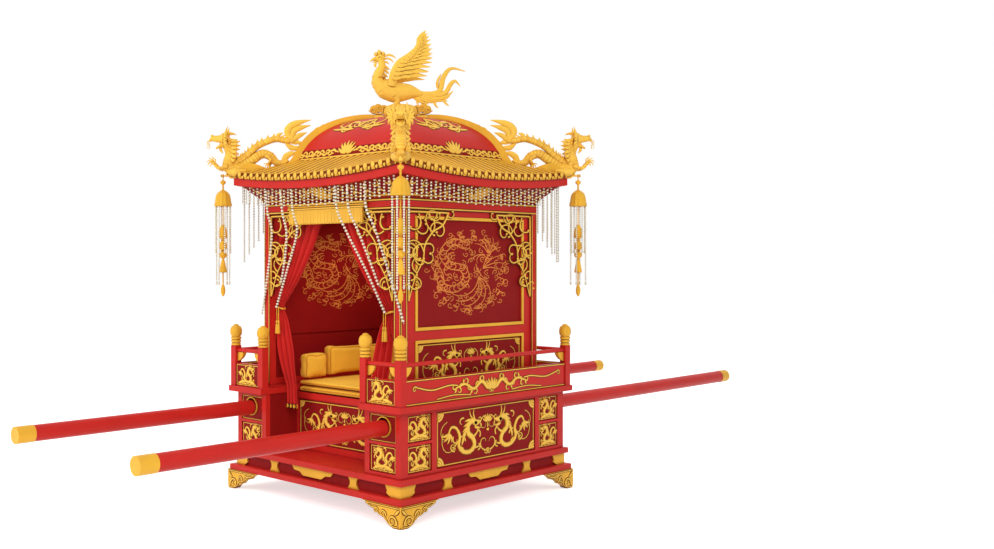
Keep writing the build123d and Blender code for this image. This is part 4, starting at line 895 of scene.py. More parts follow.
def group_node(tree, name, values):
    """A shared node group placed in a tree with its own values."""
    return add_node(tree, "ShaderNodeGroup", values, node_tree=bpy.data.node_groups[name])


def wire(tree, *pairs):
    """Link an output to an input, for each pair."""
    for output, target in pairs:
        tree.links.new(output, target)


def ramp(tree, value, low, high):
    """Output that runs from nought to one as a value runs from low to high."""
    node = add_node(tree, "ShaderNodeMapRange", {"From Min": low, "From Max": high})
    wire(tree, (value, node.inputs["Value"]))
    return node.outputs["Result"]


def mixed(tree, factor, first, second, kind="RGBA"):
    """Output that blends two others by a factor."""
    node = add_node(tree, "ShaderNodeMix", data_type=kind)
    wire(tree, (factor, node.inputs["Factor"]), (first, node.inputs["A"]), (second, node.inputs["B"]))
    return node.outputs["Result"]


def mottle_group():
    """Colour made a little lighter and darker in soft patches, as hand-laid lacquer is."""
    group, given, made = new_group("Mottle", {"Colour": COLOUR, "Amount": NUMBER, "Scale": NUMBER})
    place = add_node(group, "ShaderNodeTexCoord")
    noise = add_node(group, "ShaderNodeTexNoise", {"Detail": 4})
    spread = add_node(group, "ShaderNodeMapRange", {"From Min": 0.3, "From Max": 0.7})
    low = add_node(group, "ShaderNodeMath", {0: 1}, operation="SUBTRACT")
    high = add_node(group, "ShaderNodeMath", {0: 1})
    shade = add_node(group, "ShaderNodeHueSaturation")
    wire(
        group,
        (place.outputs["Object"], noise.inputs["Vector"]),
        (given["Scale"], noise.inputs["Scale"]),
        (noise.outputs["Fac"], spread.inputs["Value"]),
        (given["Amount"], low.inputs[1]),
        (given["Amount"], high.inputs[1]),
        (low.outputs[0], spread.inputs["To Min"]),
        (high.outputs[0], spread.inputs["To Max"]),
        (spread.outputs["Result"], shade.inputs["Value"]),
        (given["Colour"], shade.inputs["Color"]),
        (shade.outputs["Color"], made),
    )


def carved_group():
    """Colour by depth, as painted light: dark shade at the carving's foot, shade on its slope, highlight on
    its crest.
    """
    group, given, made = new_group("Carved", {"Light": COLOUR, "Shade": COLOUR, "Foot shade": COLOUR})
    crest = add_node(group, "ShaderNodeAttribute", attribute_name="crest").outputs["Fac"]
    slope = mixed(group, ramp(group, crest, 0.05, 0.45), given["Foot shade"], given["Shade"])
    wire(group, (mixed(group, ramp(group, crest, 0.4, 0.9), slope, given["Light"]), made))


def crevice_shade_group():
    """Painted shade: colour darkened in crevices where faces meet, by the share of open space within a short
    distance.
    """
    group, given, made = new_group("Seam", {"Colour": COLOUR, "Dark": COLOUR, "Distance": NUMBER})
    space = add_node(group, "ShaderNodeAmbientOcclusion", samples=6)
    open_share = ramp(group, space.outputs["AO"], 0.3, 0.85)
    wire(
        group,
        (given["Distance"], space.inputs["Distance"]),
        (mixed(group, open_share, given["Dark"], given["Colour"]), made),
    )


def rib_shade_group():
    """Painted shade between the tile ribs: colour darkened by the distance from the nearest rib's middle."""
    group, given, made = new_group("Rib shade", {"Colour": COLOUR, "Dark": COLOUR, "Pitch": NUMBER})
    place = add_node(group, "ShaderNodeTexCoord")
    split = add_node(group, "ShaderNodeSeparateXYZ")
    wire(group, (place.outputs["Object"], split.inputs["Vector"]))

    def math(operation, first, second=0.0):
        node = add_node(group, "ShaderNodeMath", operation=operation)
        for socket, value in zip(node.inputs, (first, second)):
            if isinstance(value, float):
                socket.default_value = value
            else:
                wire(group, (value, socket))
        return node.outputs[0]

    across = split.outputs["X"]
    back = math("SUBTRACT", split.outputs["Y"], MID_Y)
    sideways = math("GREATER_THAN", math("ABSOLUTE", across), math("ABSOLUTE", back))
    along = mixed(group, sideways, across, back, "FLOAT")
    away = math("PINGPONG", along, math("MULTIPLY", given["Pitch"], 0.5))
    between = ramp(group, math("DIVIDE", away, given["Pitch"]), 0.19, 0.25)
    wire(group, (mixed(group, between, given["Colour"], given["Dark"]), made))


def weave_group():
    """Fine crossed threads: two wave patterns along the cloth, multiplied and turned into a normal."""
    group, given, made = new_group("Weave", {"Scale": NUMBER, "Strength": NUMBER}, ("Normal", VECTOR))
    place = add_node(group, "ShaderNodeTexCoord")
    threads = add_node(group, "ShaderNodeMath", operation="MULTIPLY")
    for socket, direction in zip(threads.inputs, "XZ"):
        wave = add_node(group, "ShaderNodeTexWave", bands_direction=direction)
        wire(
            group,
            (place.outputs["Object"], wave.inputs["Vector"]),
            (given["Scale"], wave.inputs["Scale"]),
            (wave.outputs["Fac"], socket),
        )
    bump = add_node(group, "ShaderNodeBump", {"Distance": 0.0004})
    wire(
        group,
        (threads.outputs[0], bump.inputs["Height"]),
        (given["Strength"], bump.inputs["Strength"]),
        (bump.outputs["Normal"], made),
    )


def material(name, colour, roughness, metallic=0.0, coat=0.0, amount=0.06, weave=0.0, carved=None, seam=None):
    """Principled material: its colour comes from the carved group if given, with painted highlight and shade
    by the crest, then takes mottle and painted shade in crevices.
    """
    made = bpy.data.materials.new(name)
    made.use_nodes = True
    tree = made.node_tree
    shader = tree.nodes["Principled BSDF"].inputs
    shader["Roughness"].default_value = roughness
    shader["Metallic"].default_value = metallic
    shader["Coat Weight"].default_value = coat
    shader["Coat Roughness"].default_value = 0.2
    shader["Specular IOR Level"].default_value = 0.08 if weave else 0.12
    mottle = group_node(tree, "Mottle", {"Colour": (*colour, 1), "Amount": amount, "Scale": 6})
    wire(tree, (mottle.outputs["Colour"], shader["Base Color"]))
    # Painted shade in crevices: darker where faces meet and little open space lies near
    if seam:
        crevice_node = group_node(tree, "Seam", {"Dark": (*seam[0], 1), "Distance": seam[1]})
        wire(
            tree,
            (mottle.outputs["Colour"], crevice_node.inputs["Colour"]),
            (crevice_node.outputs["Colour"], shader["Base Color"]),
        )
    # Painted highlight and shade by each vertex's crest value
    if carved:
        tones = {label: (*tone, 1) for label, tone in zip(("Light", "Shade", "Foot shade"), carved)}
        depth = group_node(tree, "Carved", tones)
        wire(tree, (depth.outputs["Colour"], mottle.inputs["Colour"]))
    if weave:
        cloth = group_node(tree, "Weave", {"Scale": 120, "Strength": weave})
        wire(tree, (cloth.outputs["Normal"], shader["Normal"]))
        shader["Sheen Weight"].default_value = 0.04
    return made


def shade_between_ribs(made, dark, pitch):
    """Pass a material's colour through the rib shade group, so that painted shade parts the tiles in dark
    lines.
    """
    tree = made.node_tree
    base = tree.nodes["Principled BSDF"].inputs["Base Color"]
    ribs = group_node(tree, "Rib shade", {"Dark": (*dark, 1), "Pitch": pitch})
    wire(tree, (base.links[0].from_socket, ribs.inputs["Colour"]), (ribs.outputs["Colour"], base))


def new_object(name, data):
    """Object with the given data, linked to the scene."""
    made = bpy.data.objects.new(name, data)
    bpy.context.scene.collection.objects.link(made)
    return made


def make_piece(name, shapes, finish, body="chair", replaces=()):
    """Mesh object from shapes: whole arrays set at once, normals turned outward, then given to a body."""
    vertices, quads, triangles, crest = merge(shapes)
    mesh = bpy.data.meshes.new(name)
    mesh.vertices.add(len(vertices))
    mesh.vertices.foreach_set("co", vertices.astype(np.float32).ravel())
    loops = np.concatenate([quads.ravel(), triangles.ravel()]).astype(np.int32)
    mesh.loops.add(len(loops))
    mesh.loops.foreach_set("vertex_index", loops)
    quad_starts = np.arange(len(quads)) * 4
    triangle_starts = len(quads) * 4 + np.arange(len(triangles)) * 3
    mesh.polygons.add(len(quads) + len(triangles))
    mesh.polygons.foreach_set("loop_start", np.concatenate([quad_starts, triangle_starts]).astype(np.int32))
    mesh.update(calc_edges=True)
    mesh.validate()
    # The crest value tells the carved finishes where to paint highlight and shade
    attribute = mesh.attributes.new("crest", "FLOAT", "POINT")
    attribute.data.foreach_set("value", crest.astype(np.float32))
    shell = bmesh.new()
    shell.from_mesh(mesh)
    bmesh.ops.recalc_face_normals(shell, faces=shell.faces)
    shell.to_mesh(mesh)
    shell.free()
    mesh.polygons.foreach_set("use_smooth", np.ones(len(mesh.polygons), bool))
    mesh.set_sharp_from_angle(angle=radians(55))
    mesh.materials.append(finish)
    piece = new_object(name, mesh)
    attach(piece, body)
    if replaces:
        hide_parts(*replaces)
    return piece


def finish_named(name):
    """A material made earlier by the finishes operator."""
    return bpy.data.materials[name]


def gild(name, shapes, replaces=()):
    """Make a carved gilt piece of the chair."""
    make_piece(name, shapes, finish_named("Carved gilt"), replaces=replaces)


def darken(name, shapes):
    """Make the dark lacquer plates behind a carving."""
    make_piece(name, shapes, finish_named("Dark lacquer"))


# Soft pieces


# Room between a cushion's cloth and the faces of its CAD solid
PAD_ROOM = 0.0005


def points_of(mesh):
    """A mesh's vertices as rows of x, y and z."""
    flat = np.empty(len(mesh.vertices) * 3, np.float32)
    mesh.vertices.foreach_get("co", flat)
    return flat.reshape(-1, 3)


def pad(name, low, high, grow, voxel, finish):
    """Stuffed cushion: a box swollen by cloth pressure, its movement capped, kept inside its CAD solid."""
    low = np.asarray(low, float)
    high = np.asarray(high, float)
    shell = bmesh.new()
    bmesh.ops.create_cube(shell, size=1)
    middle = (low + high) / 2
    size = high - low - 2 * grow * np.array([0.6, 0.6, 1])
    for vertex in shell.verts:
        vertex.co = middle + np.array(vertex.co) * size
    bmesh.ops.bevel(shell, geom=shell.edges, offset=min(size) * 0.3, segments=3, affect="EDGES", profile=0.5)
    mesh = bpy.data.meshes.new(name)
    shell.to_mesh(mesh)
    shell.free()
    piece = new_object(name, mesh)
    remesh = piece.modifiers.new("Remesh", "REMESH")
    remesh.voxel_size = voxel
    apply_modifiers(piece)
    puff(piece, grow)
    kept = np.clip(points_of(piece.data), low + PAD_ROOM, high - PAD_ROOM)
    piece.data.vertices.foreach_set("co", kept.ravel())
    piece.modifiers.new("Subdivision", "SUBSURF").levels = 1
    apply_modifiers(piece)
    mesh = piece.data
    mesh.polygons.foreach_set("use_smooth", np.ones(len(mesh.polygons), bool))
    mesh.materials.clear()
    mesh.materials.append(finish)
    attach(piece, "chair")
    return piece


def apply_modifiers(piece):
    """Replace a piece's mesh by what its modifiers make of it."""
    graph = bpy.context.evaluated_depsgraph_get()
    made = bpy.data.meshes.new_from_object(piece.evaluated_get(graph))
    piece.modifiers.clear()
    piece.data = made


def puff(piece, most):
    """Cloth swollen by air pressure over twenty frames, no point moved further than most."""
    start = points_of(piece.data)
    cloth = piece.modifiers.new("Cloth", "CLOTH")
    cloth.settings.use_pressure = True
    cloth.settings.uniform_pressure_force = 4
    cloth.settings.effector_weights.gravity = 0
    cloth.settings.quality = 4
    scene = bpy.context.scene
    for number in range(1, 21):
        scene.frame_set(number)
    graph = bpy.context.evaluated_depsgraph_get()
    move = points_of(piece.evaluated_get(graph).data) - start
    length = np.linalg.norm(move, axis=1, keepdims=True)
    move *= np.minimum(1, most / np.maximum(length, 1e-9))
    piece.modifiers.clear()
    piece.data.vertices.foreach_set("co", (start + move).ravel())
    scene.frame_set(1)


# Settings


def metres(name, description, default):
    """Property for a length in metres."""
    return FloatProperty(name=name, description=description, default=default, unit="LENGTH")


def tone(name, description, *colour):
    """Property for a colour, as linear values."""
    return FloatVectorProperty(name=name, description=description, subtype="COLOR", default=colour)


class SedanSizes(bpy.types.PropertyGroup):
    """Sizes of the carving, cloth and beads, in metres, and where the frame's faces lie."""

    cabin_half: metres("Cabin half width", "Middle to the cabin's outer face", 0.55)
    wall_face: metres("Wall panel", "Middle to the sunk outside of a wall panel", 0.533)
    wall_inside: metres("Wall inside", "Middle to the sunk inside of a wall panel", 0.519)
    wall_back: metres("Wall back", "Middle to the inside of a wall's frame", 0.512)
    box_face: metres("Box panel", "Middle to the sunk face of a pole box", 0.65)
    rail_face: metres("Rail board", "Middle to the outer face of a rail board", 0.678)
    inner_post: metres("Inner post", "Middle to the posts beside the doorway", 0.416)
    eave_half: metres("Eave half width", "Middle to the outer face of the eave", 0.675)
    eave_rise: metres("Eave rise", "How far the eave sweeps up at its corners", 0.042)
    fascia: metres("Fascia", "Thickness of the eave board", 0.0343)
    fascia_foot: metres("Fascia foot", "Height of the eave board's lower edge", 1.684)
    cove_foot: metres("Cove foot", "Height of the cove where it leaves the cabin", 1.627)
    cove_rise: metres("Cove rise", "Rise of the cove from cabin to eave", 0.057)
    tile_foot: metres("Tile foot", "Height of the tile pans at the eave's middle", 1.7483)
    tile_over: metres("Tile overhang", "Reach of the tiles past the eave", 0.01)
    tile_ribs: IntProperty(name="Tile ribs", description="Ribs of round tiles on each side", default=25)
    dome_half: metres("Dome half width", "Middle to the dome's side at its foot", 0.424)
    dome_foot: metres("Dome foot", "Height where the dome's curve begins", 1.862)
    dome_top: metres("Dome top", "Height of the flat on the dome", 2.098)
    dome_flat: metres("Dome flat", "Half width of the flat on the dome", 0.112)
    bead: metres("Bead radius", "Radius of a pearl bead", 0.006)
    bead_pitch: metres("Bead pitch", "Distance from bead to bead on a strand", 0.0155)
    strand_pitch: metres("Strand pitch", "Distance from strand to strand", 0.034)
    strand_length: metres("Strand length", "Length of a short strand", 0.1)
    strand_reach: metres("Strand reach", "Middle to the line of strands", 0.658)
    cloth: metres("Cloth", "Thickness of the curtain cloth", 0.0016)
    pin_height: metres("Pin height", "Height of the middle of the pendants' eyes", 1.7793)
    pleats: IntProperty(name="Pleats", description="Folds across each curtain", default=7)
    sky: FloatProperty(name="Sky light", description="Strength of the surroundings as light", default=0.5)
    floor_glow: FloatProperty(name="Floor glow", description="White added to the floor in view", default=0.62)


class SedanColours(bpy.types.PropertyGroup):
    """Colours of the finishes, as linear values."""

    lacquer: tone("Lacquer", "Bright red lacquer", 0.60, 0.022, 0.016)
    # Also painted shade in the crevices of the red lacquer and red silk
    deep: tone("Deep lacquer", "Dark red of sunk panels", 0.27, 0.008, 0.008)
    # Painted highlight on the crests of the carving
    light: tone("Gold light", "Gold on the crests of the carving", 1.0, 0.63, 0.095)
    # Painted shade on the carving's slopes and fringe brims, and in the yellow silk's crevices; also the
    # piping's own colour
    shade: tone("Gold shade", "Gold in the carving's slopes", 0.68, 0.27, 0.025)
    # Painted shade in the crevices of gilt pieces and between the tile ribs
    seam: tone("Gold crevice shade", "Brown in the seams of gilt pieces", 0.25, 0.06, 0.01)
    # Painted shade at the carving's foot, on its brims and at the beads' holes
    foot_shade: tone("Gold foot shade", "Brown at the carving's foot", 0.11, 0.025, 0.006)
    gilt: tone("Gilt", "Gold of plain turned and moulded pieces", 0.86, 0.46, 0.045)
    thread: tone("Roundel line", "Copper gold of the roundels", 0.72, 0.24, 0.05)
    silk: tone("Cushion silk", "Yellow silk of the cushions", 0.88, 0.50, 0.05)
    curtain: tone("Curtain silk", "Red silk of the curtains", 0.60, 0.022, 0.018)
    pearl: tone("Pearl", "Cream of the beads", 0.90, 0.86, 0.70)
    # Painted shade near the holes, where neighbouring beads meet
    pearl_shade: tone("Pearl shade", "Brown cream near the holes of the beads", 0.30, 0.23, 0.10)
    floor: tone("Floor", "Pale studio floor", 0.86, 0.86, 0.86)


class SEDAN_OT_finishes(bpy.types.Operator):
    """Make the node groups and materials, and give every CAD node the finish of its slot"""

    bl_idname = "sedan.finishes"
    bl_label = "Finishes"

    def execute(self, context):
        colours = context.scene.sedan_colours
        sizes = context.scene.sedan_sizes
        for make_group in (mottle_group, carved_group, crevice_shade_group, weave_group, rib_shade_group):
            make_group()
        # Painted highlight on the crests, painted shade on the slopes and at the foot
        gold = (colours.light, colours.shade, colours.foot_shade)
        # Pearl colour with painted shade near the holes, where beads meet
        pearl = (colours.pearl, colours.pearl_shade, colours.foot_shade)
        gilding = {"metallic": 0.15, "amount": 0.1}
        # The dark colour and reach given to a material paint shade into its crevices, where faces meet
        finishes = {
            "red_lacquer": material("Red lacquer", colours.lacquer, 0.4, coat=0.1, seam=(colours.deep, 0.02)),
            "dark_lacquer": material("Dark lacquer", colours.deep, 0.6),
            "gilt": material("Gilt", colours.gilt, 0.38, seam=(colours.seam, 0.02), **gilding),
            "yellow_silk": material("Yellow silk", colours.silk, 0.6, weave=0.06, seam=(colours.shade, 0.03)),
            "red_silk": material("Red silk", colours.curtain, 0.6, weave=0.02, seam=(colours.deep, 0.008)),
            "pearl_bead": material("Pearl", colours.pearl, 0.3, coat=0.3, amount=0.02, carved=pearl),
        }
        material("Carved gilt", colours.light, 0.38, metallic=0.1, carved=gold, seam=(colours.seam, 0.008))
        # Fringe cords in one gold, with painted shade on their brims as dark lines between cords
        material("Fringe silk", colours.light, 0.6, carved=(colours.light, colours.light, colours.shade))
        material("Silk piping", colours.shade, 0.6, weave=0.06)
        material("Roundel line", colours.thread, 0.45, metallic=0.1, amount=0.15)
        # Tiles with painted shade between the ribs
        tiles = material("Tile gilt", colours.gilt, 0.38, **gilding)
        shade_between_ribs(tiles, colours.seam, 2 * (sizes.eave_half + sizes.tile_over) / sizes.tile_ribs)
        for row in frame["record"]["subparts"]:
            node = row["node"]
            mesh = frame["nodes"][node].data
            mesh.materials.clear()
            mesh.materials.append(tiles if node.startswith("tiles_") else finishes[row["material_slot"]])
        return {"FINISHED"}


class SEDAN_OT_base(bpy.types.Operator):
    """Carve the feet"""

    bl_idname = "sedan.base"
    bl_label = "Base carving"

    def execute(self, context):
        reach = float(node_box("feet")[1, 0])
        half = [
            line([(0.452, 0.1), (0.487, 0.086), (0.523, 0.079), (0.546, 0.058), (0.59, 0.046), (0.61, 0.024),
                  (0.645, 0.009), (0.683, 0.009)], 0.006),
            line([(0.69, 0.1), (0.57, 0.1), (0.452, 0.1)], 0.006),
            curl(0.676, 0.02, 100, 0.17, 430, 0.012, tip=0.5),
            curl(0.60, 0.052, 100, 0.1, 360, 0.010, tip=0.5),
            curl(0.545, 0.072, 120, 0.075, 330, 0.008, tip=0.5),
            leaf(0.69, 0.095, 235, 0.05, -30, 0.016),
        ]
        gild("feet_carving", [carve(both(half), face(turn, reach)) for turn in range(4)])
        return {"FINISHED"}


BOX_PANELS = (
    # middle across and up, width, height
    (0, 0.391, 0.8, 0.288),
    (-0.52, 0.3155, 0.17, 0.137),
    (-0.52, 0.4665, 0.17, 0.137),
    (0.52, 0.3155, 0.17, 0.137),
    (0.52, 0.4665, 0.17, 0.137),
)
REAR_PANELS = BOX_PANELS[:1] + BOX_PANELS[1::2]
FRONT_LOWER = (0.529, 0.3155, 0.186, 0.137)
FRONT_UPPER = (0.529, 0.4665, 0.186, 0.137)
SEAT_PANEL = (0, 0.39, 0.766, 0.246)
# Middle across and up and the radius of a pole's hole, then the cabin's middle to the seat front
POLE_HOLE = (0.535, 0.475, 0.0525)
SEAT_FACE = 0.428
# How much smaller than its panel a drawing is
PANEL_MARGIN = 0.01


def filled(make, x, y, width, height):
    """A drawing made a little smaller than its panel and moved there, flipped on the right."""
    return moved(make(width - PANEL_MARGIN, height - PANEL_MARGIN), x, y, flip=x > 0)


def on_side(sign, across, *rest):
    """A panel or hole of the right side, on the right or the left."""
    return (sign * across, *rest)


def box_drawing(panels):
    """Carving of a box face: two dragons in the broad first panel, a dragon over waves in each small one."""
    drawing = filled(dragon_panel, *panels[0])
    for panel in panels[1:]:
        drawing = drawing + filled(wave_panel, *panel)
    return drawing


class SEDAN_OT_panels(bpy.types.Operator):
    """Carve the panels of the pole boxes and of the seat front"""

    bl_idname = "sedan.panels"
    bl_label = "Box panels"

    def execute(self, context):
        reach = context.scene.sedan_sizes.box_face
        front = face(0, reach)
        rear = face(2, reach)
        seat_front = face(0, SEAT_FACE)
        drawing = box_drawing(BOX_PANELS)
        shapes = [carve(drawing, face(turn, reach)) for turn in (1, 3)]
        shapes.append(carve(box_drawing(REAR_PANELS), rear))
        gild("box_carving", shapes)
        grounds = [slab(*panel, face(turn, reach)) for panel in BOX_PANELS for turn in (1, 3)]
        grounds += [slab(*panel, rear) for panel in REAR_PANELS]
        for sign in (-1, 1):
            hole = on_side(sign, *POLE_HOLE)
            grounds.append(holed_slab(*on_side(sign, *BOX_PANELS[-1]), hole, rear))
            grounds.append(holed_slab(*on_side(sign, *FRONT_UPPER), hole, front))
            grounds.append(slab(*on_side(sign, *FRONT_LOWER), front))
        grounds.append(slab(*SEAT_PANEL, seat_front))
        darken("box_grounds", grounds)
        lower = filled(wave_panel, *on_side(-1, *FRONT_LOWER))
        upper = filled(plain_frame, *on_side(-1, *FRONT_UPPER))
        seat = filled(dragon_panel, *SEAT_PANEL)
        gild("front_carving", [carve(seat, seat_front), carve(both(lower + upper), front)])
        return {"FINISHED"}


RAIL_MIDDLE = 0.649
RAIL_LENGTH = 1.24
RAIL_HEIGHT = 0.112
RAIL_THICK = 0.026
# Half length and half height between the gilt lines of a long rail board
RAIL_EDGE = (0.64, 0.058)
# Middle across, width and height of the short boards beside the doorway
SHORT_BOARD = (0.5405, 0.2, 0.12)
FINIAL_RADIUS = 0.034
FINIAL = (
    # radius, height above the post
    (0.022, 0.0), (0.027, 0.002), (0.027, 0.012), (0.023, 0.0135), (0.023, 0.0165), (0.028, 0.018),
    (0.028, 0.03), (0.024, 0.0315), (0.024, 0.0345), (0.029, 0.036), (0.03, 0.047), (0.025, 0.049),
    (0.025, 0.052), (0.031, 0.06), (FINIAL_RADIUS, 0.075), (0.0335, 0.09), (0.029, 0.103), (0.022, 0.11),
    (0.017, 0.1115), (0.014, 0.118), (0.004, 0.1215),
)


class SEDAN_OT_railing(bpy.types.Operator):
    """Carve the rail boards and turn the post finials"""

    bl_idname = "sedan.railing"
    bl_label = "Railing"

    def execute(self, context):
        sizes = context.scene.sedan_sizes
        end, edge = RAIL_EDGE
        across, width, height = SHORT_BOARD
        board = rail_scrolls(RAIL_LENGTH, RAIL_HEIGHT)
        board += bar([(-end, edge), (end, edge)], 0.006) + bar([(-end, -edge), (end, -edge)], 0.006)
        board = moved(board, 0, RAIL_MIDDLE)
        shapes = [carve(board, face(turn, sizes.rail_face)) for turn in (1, 2, 3)]
        front = face(0, sizes.rail_face)
        shapes.append(carve(both(moved(wave_panel(width, height), -across, RAIL_MIDDLE)), front))
        shapes += [carve(board, face(turn, RAIL_THICK - sizes.rail_face)) for turn in (0, 1, 3)]
        gild("rail_carving", shapes)
        grounds = [slab(side * across, RAIL_MIDDLE, width, height, front) for side in (-1, 1)]
        darken("rail_grounds", grounds)
        low, high = node_box("rail_finials")
        out = high[0] - FINIAL_RADIUS
        posts = ((out, -out), (sizes.inner_post, -out), (out, out))
        spots = [(side * x, MID_Y + back, low[2]) for side in (1, -1) for x, back in posts]
        knobs = copies(lathe(FINIAL, columns=48, ribs=12, swell=0.012), spots)
        make_piece("post_finials", [knobs], finish_named("Gilt"), replaces=("rail_finials",))
        return {"FINISHED"}


WALL_PANELS = (
    # middle across and up, width, height: the roundel's panel and the dado
    (0, 1.231, 0.843, 0.553),
    (0, 0.747, 0.843, 0.249),
)
WALL_FRAME = (
    # the same for the rails and stiles between the panels, inside
    (0, 0.913, 0.843, 0.083),
    (0, 1.531, 0.843, 0.047),
    (-0.461, 1.09, 0.079, 0.929),
    (0.461, 1.09, 0.079, 0.929),
)
# Half width and half height of a roundel, and its line's width to a unit of the drawing
ROUNDEL_HALF = (0.335, 0.232)
ROUNDEL_LINE = 0.2
# The carved dado's width and height, and the foot and head of the gilt lines on the posts
DADO = (0.832, 0.238)
POST_LINE = (0.6, 1.552)


class SEDAN_OT_walls(bpy.types.Operator):
    """Draw the roundels, the dado dragons and the gilt edge lines of the cabin"""

    bl_idname = "sedan.walls"
    bl_label = "Walls"

    def execute(self, context):
        sizes = context.scene.sedan_sizes
        middle = WALL_PANELS[0][:2]
        lines = [(path * ROUNDEL_HALF + middle, width * ROUNDEL_LINE) for path, width in roundel()]
        shapes = []
        grounds = []
        for turn in (1, 2, 3):
            opposite = (turn + 2) % 4
            within = face(opposite, -sizes.wall_back)
            for place in (face(turn, sizes.wall_face), face(opposite, -sizes.wall_inside)):
                shapes.append(carve(lines, place, most=0.003, brim=0.0005))
                grounds += [slab(*panel, place) for panel in WALL_PANELS]
            grounds += [slab(*panel, within) for panel in WALL_FRAME]
        make_piece("roundels", shapes, finish_named("Roundel line"))
        darken("wall_grounds", grounds)
        dado = moved(dragon_panel(*DADO), *WALL_PANELS[1][:2])
        foot, head = POST_LINE
        edges = both(bar([(0.508, foot), (0.508, head)], 0.006) + bar([(0.546, foot), (0.546, head)], 0.005))
        for up in (1.563, 1.606):
            edges += bar([(-0.545, up), (0.545, up)], 0.008)
        outside = [carve(dado, face(turn, sizes.wall_face)) for turn in (1, 2, 3)]
        frames = [carve(edges, face(turn, sizes.cabin_half), most=0.003) for turn in range(4)]
        gild("wall_carving", outside + frames)
        return {"FINISHED"}


# Where a spandrel's corner lies, how its drawing is stretched, and the middle of the cabin to its face
SPANDREL_CORNER = np.array([0.505, 1.557])
SPANDREL_STRETCH = (-1.24, 1.08)
SPANDREL_FACE = 0.5462


class SEDAN_OT_spandrels(bpy.types.Operator):
    """Carve the vine scrolls in the upper corners of the cabin"""

    bl_idname = "sedan.spandrels"
    bl_label = "Spandrels"

    def execute(self, context):
        corner = [(SPANDREL_CORNER + path * SPANDREL_STRETCH, width) for path, width in vine_corner()]
        shapes = [carve(both(corner), face(turn, SPANDREL_FACE), rise=0.6) for turn in range(4)]
        gild("vine_spandrels", shapes, replaces=("spandrels",))
        return {"FINISHED"}


class SEDAN_OT_head(bpy.types.Operator):
    """Carve the frieze under the eave and hang the pelmet's fringe"""

    bl_idname = "sedan.head"
    bl_label = "Frieze and pelmet"

    def execute(self, context):
        height = context.scene.sedan_sizes.cove_rise
        half = [curl(0.05 + 0.09 * i, height * 0.2, 40, 0.13, -320, 0.010) for i in range(6)]
        half += [curl(0.06 + 0.09 * i, height * 0.75, -30, 0.11, 310, 0.008) for i in range(6)]
        frieze = both(half) + lotus(0.17) + both(moved(cloud(0.06), 0.12, 0.03))
        frieze += bar([(-0.55, 0.002), (0.55, 0.002)], 0.006)
        shapes = [carve(frieze, frieze_face(turn)) for turn in range(4)]
        low, high = node_box("pelmet")
        front = face(0, MID_Y - low[1])
        top = high[2] - 0.036
        mouldings = []
        for rise, wide in ((0.006, 0.01), (0.03, 0.012)):
            mouldings += bar([(low[0], top + rise), (high[0], top + rise)], wide)
        shapes.append(carve(mouldings, front))
        gild("frieze_carving", shapes)
        cords = []
        for index, x in enumerate(np.linspace(low[0] + 0.016, high[0] - 0.016, 62)):
            foot = low[2] + 0.003 * ((index * 7) % 3)
            cords += bar([(x, top), (x + 0.001 * ((index * 5) % 3 - 1), foot)], 0.0078)
        make_piece("pelmet_fringe", [carve(cords, front, rise=0.6)], finish_named("Fringe silk"))
        return {"FINISHED"}


TILE_DISC = (
    # how far out of the eave, diameter
    (-0.004, 0.028),
    (0.005, 0.028),
    (0.0075, 0.022),
    (0.0085, 0.008),
)
DOME_CLOUD = [
    curl(0.05, 0.20, 10, 0.17, 290, 0.022),
    curl(0.08, 0.235, -10, 0.15, -270, 0.018),
    leaf(0.03, 0.19, -15, 0.13, 50, 0.03),
    curl(0.13, 0.215, 0, 0.13, 250, 0.016),
    leaf(0.02, 0.24, 40, 0.09, -60, 0.03),
    leaf(0.1, 0.195, -10, 0.12, 30, 0.022),
]
DOME_VINE = ((0.06, 0.03), (0.12, 0.044), (0.18, 0.022), (0.24, 0.044), (0.3, 0.022), (0.385, 0.034))
DOME_BANDS = (
    # length up the dome's side, width of each dark strip behind the vine
    (0.016, 0.82),
    (0.044, 0.8),
)


def tile_row():
    """Front row of tile ends: a disc at the foot of each rib along the curved eave, a drip leaf between."""
    sizes = bpy.context.scene.sedan_sizes
    half = sizes.eave_half + sizes.tile_over
    pitch = 2 * half / sizes.tile_ribs
    across = -half + (np.arange(sizes.tile_ribs) + 0.5) * pitch
    across = across[np.abs(across) < half - 0.03]
    out, wide = np.array(TILE_DISC).T
    disc = sweep(np.stack([0 * out, -out, 0 * out], axis=1), (1, 0, 0), wide, wide, 12)
    foot = sizes.tile_foot + lift(across)
    ends = copies(disc, np.stack([across, np.full_like(across, MID_Y - half), foot + 0.001], axis=1))
    between = across[:-1] + pitch / 2
    feet = sizes.tile_foot + lift(between) - 0.002
    drips = [leaf(x, z, -90, 0.022, 0, 0.02, 6) for x, z in zip(between, feet)]
    return merge([ends, carve(drips, face(0, half))])


def dome_drawing():
    """One side of the dome: a cloud head above, a lotus and a running vine along the foot."""
    vine = through(DOME_VINE)
    half = [(vine, np.full(len(vine), 0.011))]
    for x in np.arange(0.085, 0.37, 0.048):
        half.append(curl(x, 0.03, 70, 0.085, -330, 0.014))
        half.append(curl(x + 0.03, 0.034, -70, 0.075, 320, 0.013))
    half.append(line([(0.0, 0.006), (0.2, 0.006), (0.385, 0.006)], 0.01))
    cloud_head = moved(cloud(0.15), 0, 0.215) + both(DOME_CLOUD)
    return cloud_head + moved(lotus(0.17), 0, 0.02) + both(half)


